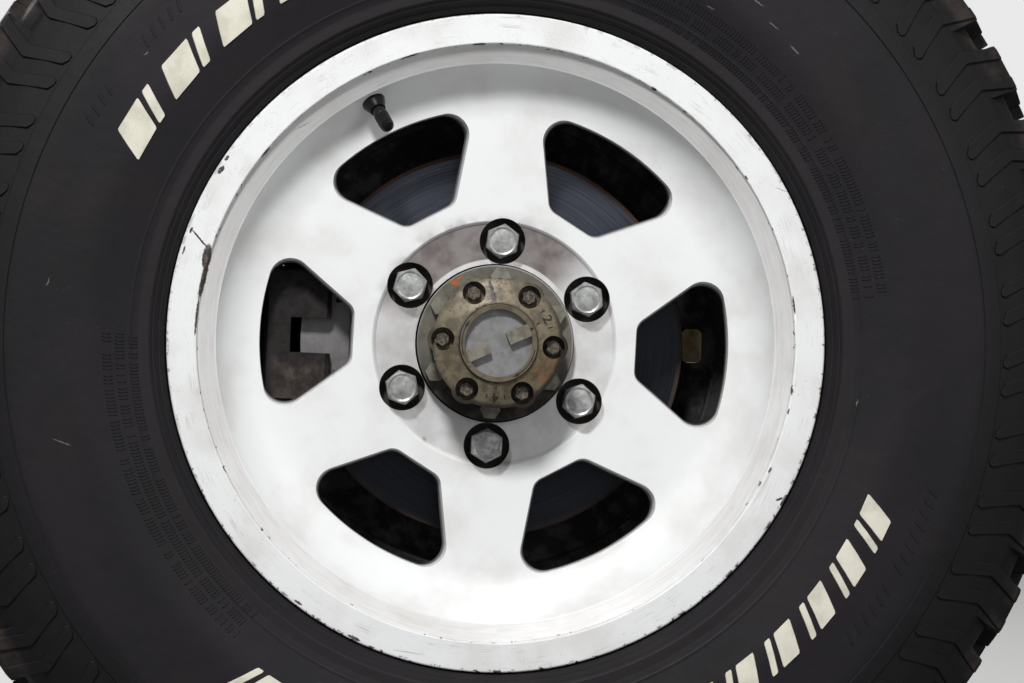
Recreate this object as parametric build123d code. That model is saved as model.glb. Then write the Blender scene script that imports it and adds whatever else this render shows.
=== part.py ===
from build123d import *
from math import cos, radians, sin, sqrt, tan
import os

# Front wheel end of an off-road vehicle: tyre, six-window wheel, manual locking hub,
# floating brake caliper and the knuckle that carries them. Millimetres, +Z up.
# The wheel spins about the Y axis. Outboard, the side that faces a bystander, is -Y.
# The origin is the mouth of the drive-shaft bore, on the inboard face of the knuckle.
# Angles run clockwise from the top as a bystander sees the wheel.

# Tyre, size 235/85 R16
SECTION_WIDTH = 241.0
TYRE_RADIUS = 402.5
TREAD_WIDTH = 198.0
SHOULDER_DROP = 11.0
SHOULDER_ROUND = 5.0
CROWN_STEP_DROP = 3.5
CROWN_STEP_HALF = 62.0
CROWN_FLAT_HALF = 12.0
PROTECTOR_RISE = 10.7
PROTECTOR_INSET = 8.5
PROTECTOR_WIDTH = 7.0
SIDEWALL_ROUND = 40.0
SIDEWALL_TAPER = 6.5
CARCASS = 13.0
CARCASS_ROUND = 20.0
BEAD_WIDTH = 16.5
BEAD_TOE_DEPTH = 10.0
GROOVE_DEPTH = 9.5
GROOVE_WIDTH = 7.0
INNER_GROOVE_PLACE = 20.5
OUTER_GROOVE_PLACE = 56.5
LUG_COUNT = 45
LUG_ANGLE = 1.6
LUG_STAGGER = 0.8
LUG_GAP = 20.0
LUG_FLOOR_INSET = 7.0
LUG_REACH = 20.5

# Places on the sidewall, as shares of its height from the rim protector to the shoulder
BULGE_START = 0.26
BULGE_END = 0.573
TAPER_END = 0.76

# Rim, 16 inch by 7 inch
BEAD_SEAT_RADIUS = 202.8
FLANGE_HEIGHT = 17.5
RIM_HALF = 88.9
FLANGE_THICKNESS = 12.1
FLANGE_ROUND = 9.0
BEAD_TAPER = 5.0
SEAT_LENGTH = 17.9
WELL_DEPTH = 18.8
WELL_OUTER = 58.0
WELL_INNER = 14.0
BARREL_WALL = 6.5
BARREL_RISE = 1.6
BARREL_SLOPE_RUN = 8.0
BARREL_ROUND = 12.0
LIP_WIDTH = 19.8
LIP_STEP = 3.5
LIP_STEP_INSET = 0.8
INNER_LIP_WIDTH = 7.0

# Wheel disc and its six windows
WHEEL_OFFSET = 38.0
PAD_THICKNESS = 22.5
PAD_RADIUS = 81.0
PAD_STEP = 2.5
MOUNT_RADIUS = 84.0
MOUNT_BOSS_SLOPE = 6.0
SPOKE_THICKNESS = 16.0
SPOKE_RISE = 1.0
DISH_BAND = 12.5
DISH_DEPTH = 26.0
DISH_ROUND = 38.0
DISH_SLOPE = 69.5
WINDOW_COUNT = 6
WINDOW_ANGLE = 33.2
WINDOW_INNER = 98.7
WINDOW_RIM = 28.2
WINDOW_INNER_HALF = 17.4
WINDOW_FLARE = 38.3
WINDOW_BEVEL = 3.0
WINDOW_BEVEL_REACH = 2.0
WINDOW_INNER_ROUND = 10.0
WINDOW_OUTER_ROUND = 14.5
PARTING_DEPTH = 9.0

# Wheel studs and nuts
STUD_COUNT = 6
STUD_ANGLE = 4.5
STUD_CIRCLE = 139.7
STUD_RADIUS = 6.0
STUD_HEAD_RADIUS = 8.5
STUD_HEAD_HEIGHT = 5.0
STUD_HOLE_RADIUS = 7.0
LUG_POCKET_RADIUS = 15.5
LUG_POCKET_DEPTH = 12.0
NUT_HEX = 21.0
NUT_HEIGHT = 17.0
NUT_DOME_SLOPE = 0.9
NUT_SEAT_RADIUS = 10.0
NUT_SEAT_HEIGHT = 4.5
NUT_END_WALL = 5.5

# Tyre valve
VALVE_ANGLE = -26.9
VALVE_INSET = 6.0
VALVE_TILT = 45.0
VALVE_HOLE_RADIUS = 5.7
VALVE_LENGTH = 28.5
VALVE_FOOT_RADIUS = 8.0
VALVE_FOOT_HEIGHT = 9.0
VALVE_FOOT_TOP_RADIUS = 5.2
VALVE_NECK_RADIUS = 4.2
VALVE_TAIL = 22.0
CAP_RADIUS = 4.9
CAP_LENGTH = 15.0
CAP_WALL = 1.1

# Hub, bearings and spindle
HUB_NOSE_RADIUS = 53.0
HUB_NOSE_LENGTH = 24.0
HUB_FLANGE_RADIUS = 86.0
HUB_FLANGE_THICKNESS = 12.0
HUB_WAIST_RADIUS = 56.0
HUB_SHOULDER_RADIUS = 60.0
HUB_SHOULDER_LENGTH = 12.0
HUB_WAIST_LENGTH = 5.5
HUB_TAIL_RADIUS = 46.0
HUB_TAIL_LENGTH = 12.0
BEARING_INNER_OD = 66.0
BEARING_INNER_WIDTH = 20.0
BEARING_OUTER_OD = 62.0
BEARING_OUTER_WIDTH = 18.0
HUB_BORE_RADIUS = 28.0
SPINDLE_INNER_RADIUS = 24.0
SPINDLE_OUTER_RADIUS = 20.0
SPINDLE_BORE_RADIUS = 16.0
SPINDLE_REACH = 11.0
SPINDLE_FLANGE_RADIUS = 58.0
SPINDLE_FLANGE_THICKNESS = 10.0
SPINDLE_ROOT_WIDTH = 6.0
SPINDLE_TAPER_INSET = 2.0
SPIGOT_RADIUS = 34.0
SPIGOT_END_GAP = 1.0
SPINDLE_BOLT_COUNT = 6
SPINDLE_BOLT_CIRCLE = 100.0
SPINDLE_BOLT_HEX = 13.0
SPINDLE_BOLT_RADIUS = 5.0
SPINDLE_BOLT_HEAD = 6.0

# Brake disc
DISC_RADIUS = 134.0
DISC_INNER_RADIUS = 88.0
DISC_WIDTH = 22.0
DISC_OVERHANG = 6.0
DISC_AIR_GAP = 7.0
DISC_VANE_COUNT = 36
DISC_VANE_THICKNESS = 5.0
DISC_VANE_INSET = 2.0
DISC_SOLID_RING = 6.0
DISC_FLANGE_THICKNESS = 6.0

# Floating caliper, drawn at nine o'clock and then turned up a little
CALIPER_TURN = 2.6
CALIPER_HALF = 47.0
CALIPER_OUTER = 158.0
CALIPER_CORNER = 9.0
CALIPER_CHAMFER = 3.0
CALIPER_SHOULDER = 16.0
FINGER_GAP = 24.0
FINGER_TIP = 112.0
FINGER_THICKNESS = 11.0
CYLINDER_RADIUS = 31.0
CYLINDER_PLACE = 114.0
CYLINDER_LENGTH = 34.0
PISTON_RADIUS = 21.0
PISTON_LENGTH = 25.0
PAD_PLATE = 3.5
PAD_LINING = 12.0
PAD_OUTER = 131.0
PAD_INNER = 99.0
PAD_HALF_ANGLE = 20.0
PAD_TAB_HALF = 23.5
PAD_SHOULDER_DROP = 3.0
PAD_PLATE_MARGIN = 1.5
PAD_LINING_MARGIN = 1.0
PIN_PLACE = 138.0
PIN_SPREAD = 67.0
PIN_RADIUS = 5.5
PIN_DEPTH = 40.0
PIN_HEAD_HEX = 14.0
PIN_HEAD_HEIGHT = 7.0
BOOT_RADIUS = 8.5
EAR_THICKNESS = 12.0
EAR_INSET = 2.0
EAR_RADIUS = 12.0
EAR_ROOT_MARGIN = 4.0
HOSE_PORT_RADIUS = 5.0
HOSE_PORT_DEPTH = 12.0
HOSE_BOSS_RADIUS = 10.0
BLEED_RADIUS = 3.5
BLEED_DEPTH = 7.0
BLEED_REACH = 14.0
BLEED_COLLAR = 4.0
BLEED_HEX = 9.0
BLEED_INSET = 8.0

# Caliper bracket
BRACKET_THICKNESS = 12.0
BRACKET_INNER = 68.0
BRACKET_OUTER = 150.0
BRACKET_HALF = 78.0
BRACKET_BAR = 12.0
BRACKET_CORNER = 10.0
BRACKET_ROOM = 2.5
BRACKET_ARM_INNER = 128.0
BRACKET_ARM_HALF = 59.0
BRACKET_ARM_CORNER = 5.0
BRACKET_BOLT_PLACE = 100.0
BRACKET_BOLT_SPREAD = 56.0
BRACKET_BOLT_RADIUS = 6.0
BRACKET_BOLT_HEX = 17.0
BRACKET_BOLT_HEAD = 8.0

# Knuckle and steering arm
KNUCKLE_DEPTH = 40.0
KNUCKLE_RING_RADIUS = 60.0
DRIVE_BORE_RADIUS = 36.0
DRIVE_BORE_DEPTH = 32.0
WEB_FACE_INSET = 10.0
WEB_THICKNESS = 16.0
KNUCKLE_ARM_ROOT = 44.0
BALL_BORE_RADIUS = 9.0
BALL_JOINT_Y = 8.0
UPPER_BALL_HEIGHT = 126.0
UPPER_HEAD_RADIUS = 21.0
UPPER_HEAD_HALF = 16.0
LOWER_BALL_HEIGHT = 120.0
LOWER_HEAD_RADIUS = 23.0
LOWER_HEAD_HALF = 17.0
RIB_THICKNESS = 14.0
RIB_FACE_INSET = 2.0
RIB_DEPTH = 28.0
EAR_ROOT_PLACE = 38.0
EAR_ROOT_SPREAD = 30.0
EAR_ROOT_RADIUS = 20.0
EAR_PAD_RADIUS = 14.0
ARM_SEAT_PLACE = 62.0
ARM_SEAT_RADIUS = 27.0
ARM_SEAT_MARGIN = 4.0
ARM_ROOT_PLACE = 70.0
ARM_BOLT_PLACE = 74.0
ARM_BOLT_SPREAD = 16.0
ARM_BOLT_RADIUS = 6.0
ARM_BOLT_HEX = 17.0
ARM_BOLT_HEAD = 8.0
ARM_THICKNESS = 16.0
ARM_TIP_RADIUS = 11.0
ARM_TIP_INSET = 8.0
TIE_ROD_PLACE = 141.0
TIE_ROD_EYE_RADIUS = 16.0
TIE_ROD_EYE_HEIGHT = 27.0
TIE_ROD_BORE_RADIUS = 7.5

# Dust shield
SHIELD_THICKNESS = 2.0
SHIELD_RADIUS = 161.0
SHIELD_LIP = 8.0
SHIELD_STEP_RADIUS = 74.0
SHIELD_STEP = 6.0
SHIELD_BEND = 2.0
SHIELD_BEND_SHIFT = 1.0
SHIELD_ROOM = 2.0
SHIELD_NOTCH_HALF = 84.0
SHIELD_EYE_NOTCH_HALF = 24.0
SHIELD_EYE_NOTCH_PLACE = 122.0

# Manual locking hub
LOCK_FLANGE_THICKNESS = 8.0
LOCK_BODY_RADIUS = 38.0
LOCK_BODY_HEIGHT = 28.0
LOCK_CAVITY_RADIUS = 25.0
LOCK_NUT_CIRCLE = 90.0
LOCK_NUT_HEX = 12.0
LOCK_NUT_HEIGHT = 7.0
LOBE_RADIUS = 9.0
COVER_RADIUS = 43.5
COVER_EDGE_HEIGHT = 10.0
COVER_RISE = 7.0
COVER_CHAMFER = 2.5
COVER_LOBE_RADIUS = 10.0
COVER_LOBE_REACH = 4.5
SCREW_COUNT = 6
SCREW_ANGLE = 34.4
SCREW_CIRCLE = 74.0
SCREW_POCKET_RADIUS = 7.7
SCREW_POCKET_DEPTH = 7.0
SCREW_FLANGE_RADIUS = 5.4
SCREW_FLANGE_HEIGHT = 1.4
SCREW_HEX = 8.0
SCREW_HEAD_HEIGHT = 5.0
SCREW_RADIUS = 3.0
DIAL_RADIUS = 26.3
DIAL_PROUD = 2.0
DIAL_DEPTH = 9.0
DIAL_RIM = 3.8
DIAL_RECESS = 5.0
DIAL_CHAMFER = 0.6
DIAL_BAR_ANGLE = 67.0
DIAL_BAR_WIDTH = 8.5
DIAL_BAR_GAP = 14.0

# Fits
NOSE_GAP = 1.2
SEAT_GAP = 0.3
SLIP_GAP = 0.1
RUNNING_GAP = 0.05
PAD_GAP = 0.4
MOVING_GAP = 5.5
CUT_OVERRUN = 1.0

# Stations along the spin axis, from the inboard face of the knuckle outwards
SHIELD_FACE = -KNUCKLE_DEPTH - SHIELD_THICKNESS
SPINDLE_FACE = SHIELD_FACE - SPINDLE_FLANGE_THICKNESS
HUB_END = SPINDLE_FACE - SPINDLE_BOLT_HEAD - MOVING_GAP
DISC_SEAT = HUB_END - HUB_TAIL_LENGTH
HUB_SHOULDER_END = DISC_SEAT - HUB_SHOULDER_LENGTH
DISC_OUTER_FACE = DISC_SEAT - DISC_OVERHANG
DISC_INNER_FACE = DISC_OUTER_FACE + DISC_WIDTH
HUB_FLANGE_BACK = HUB_SHOULDER_END - HUB_WAIST_LENGTH
MOUNT_FACE = HUB_FLANGE_BACK - HUB_FLANGE_THICKNESS
HUB_NOSE_FACE = MOUNT_FACE - HUB_NOSE_LENGTH
TYRE_PLANE = MOUNT_FACE + WHEEL_OFFSET
PAD_FACE = MOUNT_FACE - PAD_THICKNESS
SPOKE_FACE = PAD_FACE - PAD_STEP
SPOKE_BACK = SPOKE_FACE + SPOKE_THICKNESS
FLANGE_RADIUS = BEAD_SEAT_RADIUS + FLANGE_HEIGHT
BARREL_RADIUS = BEAD_SEAT_RADIUS - WELL_DEPTH - BARREL_WALL
DISH_RADIUS = FLANGE_RADIUS - LIP_WIDTH - DISH_BAND
WINDOW_OUTER = DISH_RADIUS - WINDOW_RIM
VALVE_RADIUS = DISH_RADIUS - VALVE_INSET
PROTECTOR_RADIUS = FLANGE_RADIUS + PROTECTOR_RISE
SHOULDER_RADIUS = TYRE_RADIUS - SHOULDER_DROP
CROWN_STEP_RADIUS = TYRE_RADIUS - CROWN_STEP_DROP
LOCK_FLANGE_FACE = HUB_NOSE_FACE - LOCK_FLANGE_THICKNESS
LOCK_BODY_FACE = LOCK_FLANGE_FACE - LOCK_BODY_HEIGHT
COVER_EDGE_FACE = LOCK_BODY_FACE - COVER_EDGE_HEIGHT
COVER_FACE = COVER_EDGE_FACE - COVER_RISE
DIAL_FACE = COVER_FACE - DIAL_PROUD
PAD_OUTER_PLATE_FACE = DISC_OUTER_FACE - PAD_GAP - PAD_LINING - PAD_PLATE
PAD_INNER_PLATE_FACE = DISC_INNER_FACE + PAD_GAP + PAD_LINING + PAD_PLATE
WEB_OUTER_Y = -KNUCKLE_DEPTH + WEB_FACE_INSET
WEB_INNER_Y = WEB_OUTER_Y + WEB_THICKNESS
BRACKET_FACE = WEB_OUTER_Y - BRACKET_THICKNESS


def ring(*corners):
    """Solid of revolution about the spin axis; a corner is (radius, y, rounding)."""
    outline = FilletPolyline(
        [(radius, y) for radius, y, _ in corners],
        radius=[rounding for _, _, rounding in corners],
        close=True,
    )
    return revolve(make_face(outline), Axis.Y, 360)


def rod(radius, start, end, x=0.0, z=0.0):
    """Round bar parallel to the spin axis, between two stations."""
    return Pos(x, (start + end) / 2, z) * Rot(90, 0, 0) * Cylinder(radius, abs(end - start))


def post(radius, low, high, x=0.0, y=0.0):
    """Upright round bar between two heights."""
    return Pos(x, y, (low + high) / 2) * Cylinder(radius, high - low)


def hex_bar(across_flats, start, end, x=0.0, z=0.0, turn=0.0):
    """Hexagonal bar parallel to the spin axis."""
    profile = Rot(0, 0, turn) * RegularPolygon(across_flats / 2, 6, major_radius=False)
    return Pos(x, start, z) * slab(profile, 0, end - start)


def slab(outline, start, end):
    """Flat outline in (x, z), made solid between two stations."""
    inboard = max(start, end)
    return extrude(Plane.XZ.offset(-inboard) * outline, abs(end - start))


def link(x0, z0, r0, x1, z1, r1):
    """Outline that wraps two circles, like a forged lever."""
    first = Pos(x0, z0) * Circle(r0)
    second = Pos(x1, z1) * Circle(r1)
    return make_hull(first.edges() + second.edges())


def turned(shape, angle):
    """The shape, turned clockwise about the spin axis."""
    return Rot(0, angle, 0) * shape


def copies(shape, count, first_angle):
    """List of equally spaced turned copies of a shape drawn at the top."""
    return [turned(shape, first_angle + 360 * index / count) for index in range(count)]


def from_tyre_plane(*corners):
    """Corners (radius, distance outboard of the tyre's centre plane, rounding) as ring corners."""
    return [(radius, TYRE_PLANE - outboard, rounding) for radius, outboard, rounding in corners]


def sidewall_radius(share):
    """Radius at a share of the sidewall's height, from the rim protector to the shoulder."""
    return PROTECTOR_RADIUS + share * (SHOULDER_RADIUS - PROTECTOR_RADIUS)


def crown_radius(place):
    """Radius of the crown's sloping part at a distance from the centre plane."""
    return TYRE_RADIUS - CROWN_STEP_DROP * (place - CROWN_FLAT_HALF) / (CROWN_STEP_HALF - CROWN_FLAT_HALF)


def tread_groove(place):
    """Corners of a groove round the crown, from its outer edge to its inner edge."""
    floor = crown_radius(place) - GROOVE_DEPTH
    low = place - GROOVE_WIDTH / 2
    high = place + GROOVE_WIDTH / 2
    return [
        (crown_radius(high), high, 0.0),
        (floor, high, 0.0),
        (floor, low, 0.0),
        (crown_radius(low), low, 0.0),
    ]


def lug_gap(side):
    """Room between two shoulder lugs at the top, from the outer groove down to the sidewall."""
    crown = TYRE_RADIUS + CUT_OVERRUN
    outer = SECTION_WIDTH / 2
    floor = [
        (OUTER_GROOVE_PLACE, CROWN_STEP_RADIUS - GROOVE_DEPTH),
        (TREAD_WIDTH / 2 - LUG_FLOOR_INSET, SHOULDER_RADIUS - GROOVE_DEPTH),
        (outer, SHOULDER_RADIUS - LUG_REACH - SIDEWALL_TAPER),
        (outer, crown),
        (OUTER_GROOVE_PLACE, crown),
    ]
    outline = Polyline(*[(TYRE_PLANE - side * outboard, radius) for outboard, radius in floor], close=True)
    return extrude(Plane.YZ * make_face(outline), LUG_GAP / 2, both=True)


def tyre():
    """Hollow tyre: beads, sidewalls with the rim protector, shoulder lugs and a grooved crown."""
    seat = BEAD_SEAT_RADIUS + SEAT_GAP
    heel = RIM_HALF - SEAT_GAP
    toe = heel - BEAD_WIDTH
    toe_radius = seat - BEAD_WIDTH * tan(radians(BEAD_TAPER))
    half = SECTION_WIDTH / 2
    protector = half - PROTECTOR_INSET
    tread_half = TREAD_WIDTH / 2
    # Columns: radius, distance from the centre plane, rounding
    outer = [
        (toe_radius, toe, 2.0),
        (seat, heel, 3.0),
        (FLANGE_RADIUS + SEAT_GAP, heel, FLANGE_ROUND + SEAT_GAP),
        (FLANGE_RADIUS + 4 * SEAT_GAP, RIM_HALF + FLANGE_THICKNESS, 2.0),
        (PROTECTOR_RADIUS, protector, 1.5),
        (PROTECTOR_RADIUS + PROTECTOR_WIDTH, protector + SEAT_GAP, 3.0),
        (sidewall_radius(BULGE_START), half, 1.5 * SIDEWALL_ROUND),
        (sidewall_radius(BULGE_END), half, SIDEWALL_ROUND),
        (sidewall_radius(TAPER_END), half - SIDEWALL_TAPER, SIDEWALL_ROUND),
        (SHOULDER_RADIUS, tread_half, SHOULDER_ROUND),
        (CROWN_STEP_RADIUS, CROWN_STEP_HALF, 0.0),
        *tread_groove(OUTER_GROOVE_PLACE),
        *tread_groove(INNER_GROOVE_PLACE),
        (TYRE_RADIUS, CROWN_FLAT_HALF, 0.0),
    ]
    inner = [
        (TYRE_RADIUS - CARCASS, 0.0, 0.0),
        (CROWN_STEP_RADIUS - CARCASS, CROWN_STEP_HALF, CARCASS_ROUND),
        (SHOULDER_RADIUS - 2 * CARCASS, tread_half - CARCASS, CARCASS_ROUND),
        (sidewall_radius(BULGE_END), half - CARCASS, SIDEWALL_ROUND),
        (sidewall_radius(BULGE_START), half - CARCASS, SIDEWALL_ROUND),
        (PROTECTOR_RADIUS - BEAD_TOE_DEPTH, toe, BEAD_TOE_DEPTH),
    ]
    far = [(radius, -outboard, rounding) for radius, outboard, rounding in reversed(outer)]
    far_inner = [(radius, -outboard, rounding) for radius, outboard, rounding in reversed(inner[1:])]
    gaps = copies(lug_gap(1), LUG_COUNT, LUG_ANGLE)
    gaps += copies(lug_gap(-1), LUG_COUNT, LUG_ANGLE + LUG_STAGGER)
    return ring(*from_tyre_plane(*outer, *far, *far_inner, *inner)) - gaps


def wheel_section():
    """Rim, dish, spoke plate and hub pad as one solid of revolution."""
    seat_drop = SEAT_LENGTH * tan(radians(BEAD_TAPER))
    seat_end = RIM_HALF - SEAT_LENGTH
    well = BARREL_RADIUS + BARREL_WALL
    ledge = BEAD_SEAT_RADIUS - seat_drop
    lip = RIM_HALF + FLANGE_THICKNESS
    pad = WHEEL_OFFSET + PAD_THICKNESS
    spoke = pad + PAD_STEP
    back = spoke - SPOKE_THICKNESS
    lip_edge = FLANGE_RADIUS - LIP_WIDTH
    dish_floor = spoke + SPOKE_RISE
    dish_corner = DISH_RADIUS - DISH_DEPTH / tan(radians(DISH_SLOPE))
    bore = HUB_NOSE_RADIUS + NOSE_GAP
    inner_lip = FLANGE_RADIUS - INNER_LIP_WIDTH
    drop = WELL_INNER - BARREL_SLOPE_RUN
    return ring(
        # Columns: radius, distance outboard of the tyre's centre plane, rounding
        *from_tyre_plane(
            (lip_edge, lip, 1.0),
            (FLANGE_RADIUS, lip, 1.5),
            (FLANGE_RADIUS, RIM_HALF, FLANGE_ROUND),
            (BEAD_SEAT_RADIUS, RIM_HALF, 2.5),
            (ledge, seat_end, 3.0),
            (well, WELL_OUTER, 5.0),
            (well, WELL_INNER, 5.0),
            (ledge - BARREL_RISE, drop - BARREL_SLOPE_RUN, 6.0),
            (ledge, -seat_end, 20.0),
            (BEAD_SEAT_RADIUS, -RIM_HALF, 2.5),
            (FLANGE_RADIUS, -RIM_HALF, FLANGE_ROUND),
            (FLANGE_RADIUS, -lip, 1.5),
            (inner_lip, -lip, 2.0),
            (ledge - BARREL_WALL, -seat_end - BARREL_WALL, BARREL_ROUND),
            (ledge - BARREL_WALL - BARREL_RISE, drop - 2 * BARREL_SLOPE_RUN, 8.0),
            (BARREL_RADIUS, drop, 8.0),
            (BARREL_RADIUS, back, BARREL_ROUND),
            (MOUNT_RADIUS + MOUNT_BOSS_SLOPE, back, 5.0),
            (MOUNT_RADIUS, WHEEL_OFFSET, 1.0),
            (bore, WHEEL_OFFSET, 0.0),
            (bore, pad, 0.0),
            (PAD_RADIUS, pad, 0.0),
            (PAD_RADIUS + PAD_STEP, spoke, 1.0),
            (dish_corner, dish_floor, DISH_ROUND),
            (DISH_RADIUS, dish_floor + DISH_DEPTH, 0.0),
            (lip_edge - LIP_STEP_INSET, lip - LIP_STEP, 0.0),
        )
    )


def window_outline(grow):
    """One window, drawn at the top, with its inner and side edges moved out by grow."""
    flare = radians(WINDOW_FLARE)
    inner = WINDOW_INNER - grow
    reach = DISH_RADIUS
    inner_half = WINDOW_INNER_HALF + grow / cos(flare) - grow * tan(flare)
    outer_half = inner_half + (reach - inner) * tan(flare)
    wedge = Polygon(
        (-inner_half, inner), (-outer_half, reach), (outer_half, reach), (inner_half, inner),
        align=None,
    )
    window = wedge & Circle(WINDOW_OUTER)
    low_corners = window.vertices().sort_by(Axis.Y)[:2]
    window = fillet(low_corners, WINDOW_INNER_ROUND)
    side_corners = window.vertices().sort_by(Axis.X)
    return fillet([side_corners[0], side_corners[-1]], WINDOW_OUTER_ROUND)


def window_cutter():
    """Tapered block that opens one window through the spoke plate."""
    back = SPOKE_BACK + CUT_OVERRUN
    front = SPOKE_FACE - SPOKE_RISE - WINDOW_BEVEL_REACH
    return loft(
        [
            Plane.XZ.offset(-back) * window_outline(0.0),
            Plane.XZ.offset(-front) * window_outline(WINDOW_BEVEL),
        ],
        ruled=True,
    )


def nut_seat():
    """Station where a wheel nut's cone meets the wheel."""
    return PAD_FACE + LUG_POCKET_DEPTH


def lug_cutter():
    """Pocket, cone seat and stud hole for one wheel nut, drawn at the top."""
    place = STUD_CIRCLE / 2
    seat = nut_seat()
    pocket = rod(LUG_POCKET_RADIUS, seat, SPOKE_FACE - CUT_OVERRUN, z=place)
    cone = Pos(0, seat + NUT_SEAT_HEIGHT / 2, place) * Rot(90, 0, 0) * Cone(
        STUD_HOLE_RADIUS, NUT_SEAT_RADIUS + SLIP_GAP, NUT_SEAT_HEIGHT
    )
    hole = rod(STUD_HOLE_RADIUS, MOUNT_FACE + CUT_OVERRUN, seat, z=place)
    return pocket + cone + hole


def valve_plane():
    """Plane on the dish where the valve stands, its normal along the valve."""
    spoke = SPOKE_FACE - SPOKE_RISE
    side = VALVE_RADIUS - (DISH_RADIUS - DISH_DEPTH / tan(radians(DISH_SLOPE)))
    slope = tan(radians((180 - DISH_SLOPE) / 2))
    flat_start = side + DISH_ROUND / slope
    depth = DISH_ROUND - sqrt(DISH_ROUND**2 - flat_start**2)
    tilt = radians(VALVE_TILT)
    return Plane(
        origin=(0, spoke - depth, VALVE_RADIUS),
        x_dir=(1, 0, 0),
        z_dir=(0, -sin(tilt), -cos(tilt)),
    )


def valve_pieces():
    """Rubber stem and ribbed cap of the tyre valve."""
    foot = Pos(0, 0, VALVE_FOOT_HEIGHT / 2) * Cone(
        VALVE_FOOT_RADIUS, VALVE_FOOT_TOP_RADIUS, VALVE_FOOT_HEIGHT
    )
    neck = Pos(0, 0, VALVE_LENGTH / 2) * Cylinder(VALVE_NECK_RADIUS, VALVE_LENGTH)
    tail = Pos(0, 0, -VALVE_TAIL / 2) * Cylinder(VALVE_HOLE_RADIUS - SLIP_GAP, VALVE_TAIL)
    cap_place = VALVE_LENGTH + CAP_WALL + SLIP_GAP - CAP_LENGTH / 2
    cap = Pos(0, 0, cap_place) * Cylinder(CAP_RADIUS, CAP_LENGTH)
    cap = fillet(cap.edges().group_by(Axis.Z)[-1], CAP_WALL)
    cap -= Pos(0, 0, cap_place - CAP_WALL) * Cylinder(VALVE_NECK_RADIUS + SLIP_GAP, CAP_LENGTH)
    place = valve_plane().location
    stem = place * (foot + neck + tail)
    return turned(stem, VALVE_ANGLE), turned(place * cap, VALVE_ANGLE)


def valve_hole():
    """Hole for the valve, from a spot face on the dish into the air chamber."""
    hole = Cylinder(VALVE_HOLE_RADIUS, 2 * (VALVE_TAIL + CUT_OVERRUN))
    hole += Pos(0, 0, VALVE_FOOT_HEIGHT / 2) * Cylinder(
        VALVE_FOOT_RADIUS + SEAT_GAP, VALVE_FOOT_HEIGHT
    )
    return turned(valve_plane().location * hole, VALVE_ANGLE)


def centre_room():
    """Room of the wheel's centre inside the rim, which ends at the crease round the dish."""
    crease = SPOKE_FACE - SPOKE_RISE - DISH_DEPTH
    front = crease - CUT_OVERRUN
    end = SPOKE_BACK + BARREL_ROUND
    return ring(
        (0.0, front, 0.0),
        (DISH_RADIUS, front, 0.0),
        (DISH_RADIUS, crease + PARTING_DEPTH, 0.0),
        (BARREL_RADIUS, SPOKE_FACE, 0.0),
        (BARREL_RADIUS, end, 0.0),
        (0.0, end, 0.0),
    )


def wheel_rim():
    """Lip, bead seats, well and barrel of the wheel, outside the crease round the dish."""
    return wheel_section() - centre_room() - valve_hole()


def wheel_casting():
    """Dish, spokes and hub pad of the wheel, with its windows and lug pockets cut."""
    cutters = copies(window_cutter(), WINDOW_COUNT, WINDOW_ANGLE)
    cutters += copies(lug_cutter(), STUD_COUNT, STUD_ANGLE)
    return (wheel_section() & centre_room()) - cutters - valve_hole()


def wheel_nut():
    """Closed hexagonal nut with a cone seat, drawn at the top."""
    place = STUD_CIRCLE / 2
    seat = nut_seat()
    top = seat - NUT_HEIGHT
    body = hex_bar(NUT_HEX, seat, top, z=place)
    chamfer_radius = NUT_HEX / 2 + NUT_HEIGHT * NUT_DOME_SLOPE
    turned_top = Pos(0, seat - NUT_HEIGHT / 2, place) * Rot(90, 0, 0) * Cone(
        chamfer_radius, NUT_HEX / 2, NUT_HEIGHT
    )
    cone = Pos(0, seat + NUT_SEAT_HEIGHT / 2, place) * Rot(90, 0, 0) * Cone(
        STUD_HOLE_RADIUS - SLIP_GAP, NUT_SEAT_RADIUS, NUT_SEAT_HEIGHT
    )
    bore = rod(STUD_RADIUS + RUNNING_GAP, seat + NUT_SEAT_HEIGHT, top + NUT_END_WALL, z=place)
    return (body & turned_top) + cone - bore


def wheel_stud():
    """Stud pressed through the hub flange, drawn at the top."""
    place = STUD_CIRCLE / 2
    tip = nut_seat() - NUT_HEIGHT + NUT_END_WALL + SEAT_GAP
    shank = rod(STUD_RADIUS, HUB_FLANGE_BACK, tip, z=place)
    head = rod(STUD_HEAD_RADIUS, HUB_FLANGE_BACK, HUB_FLANGE_BACK + STUD_HEAD_HEIGHT, z=place)
    return shank + head


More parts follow.
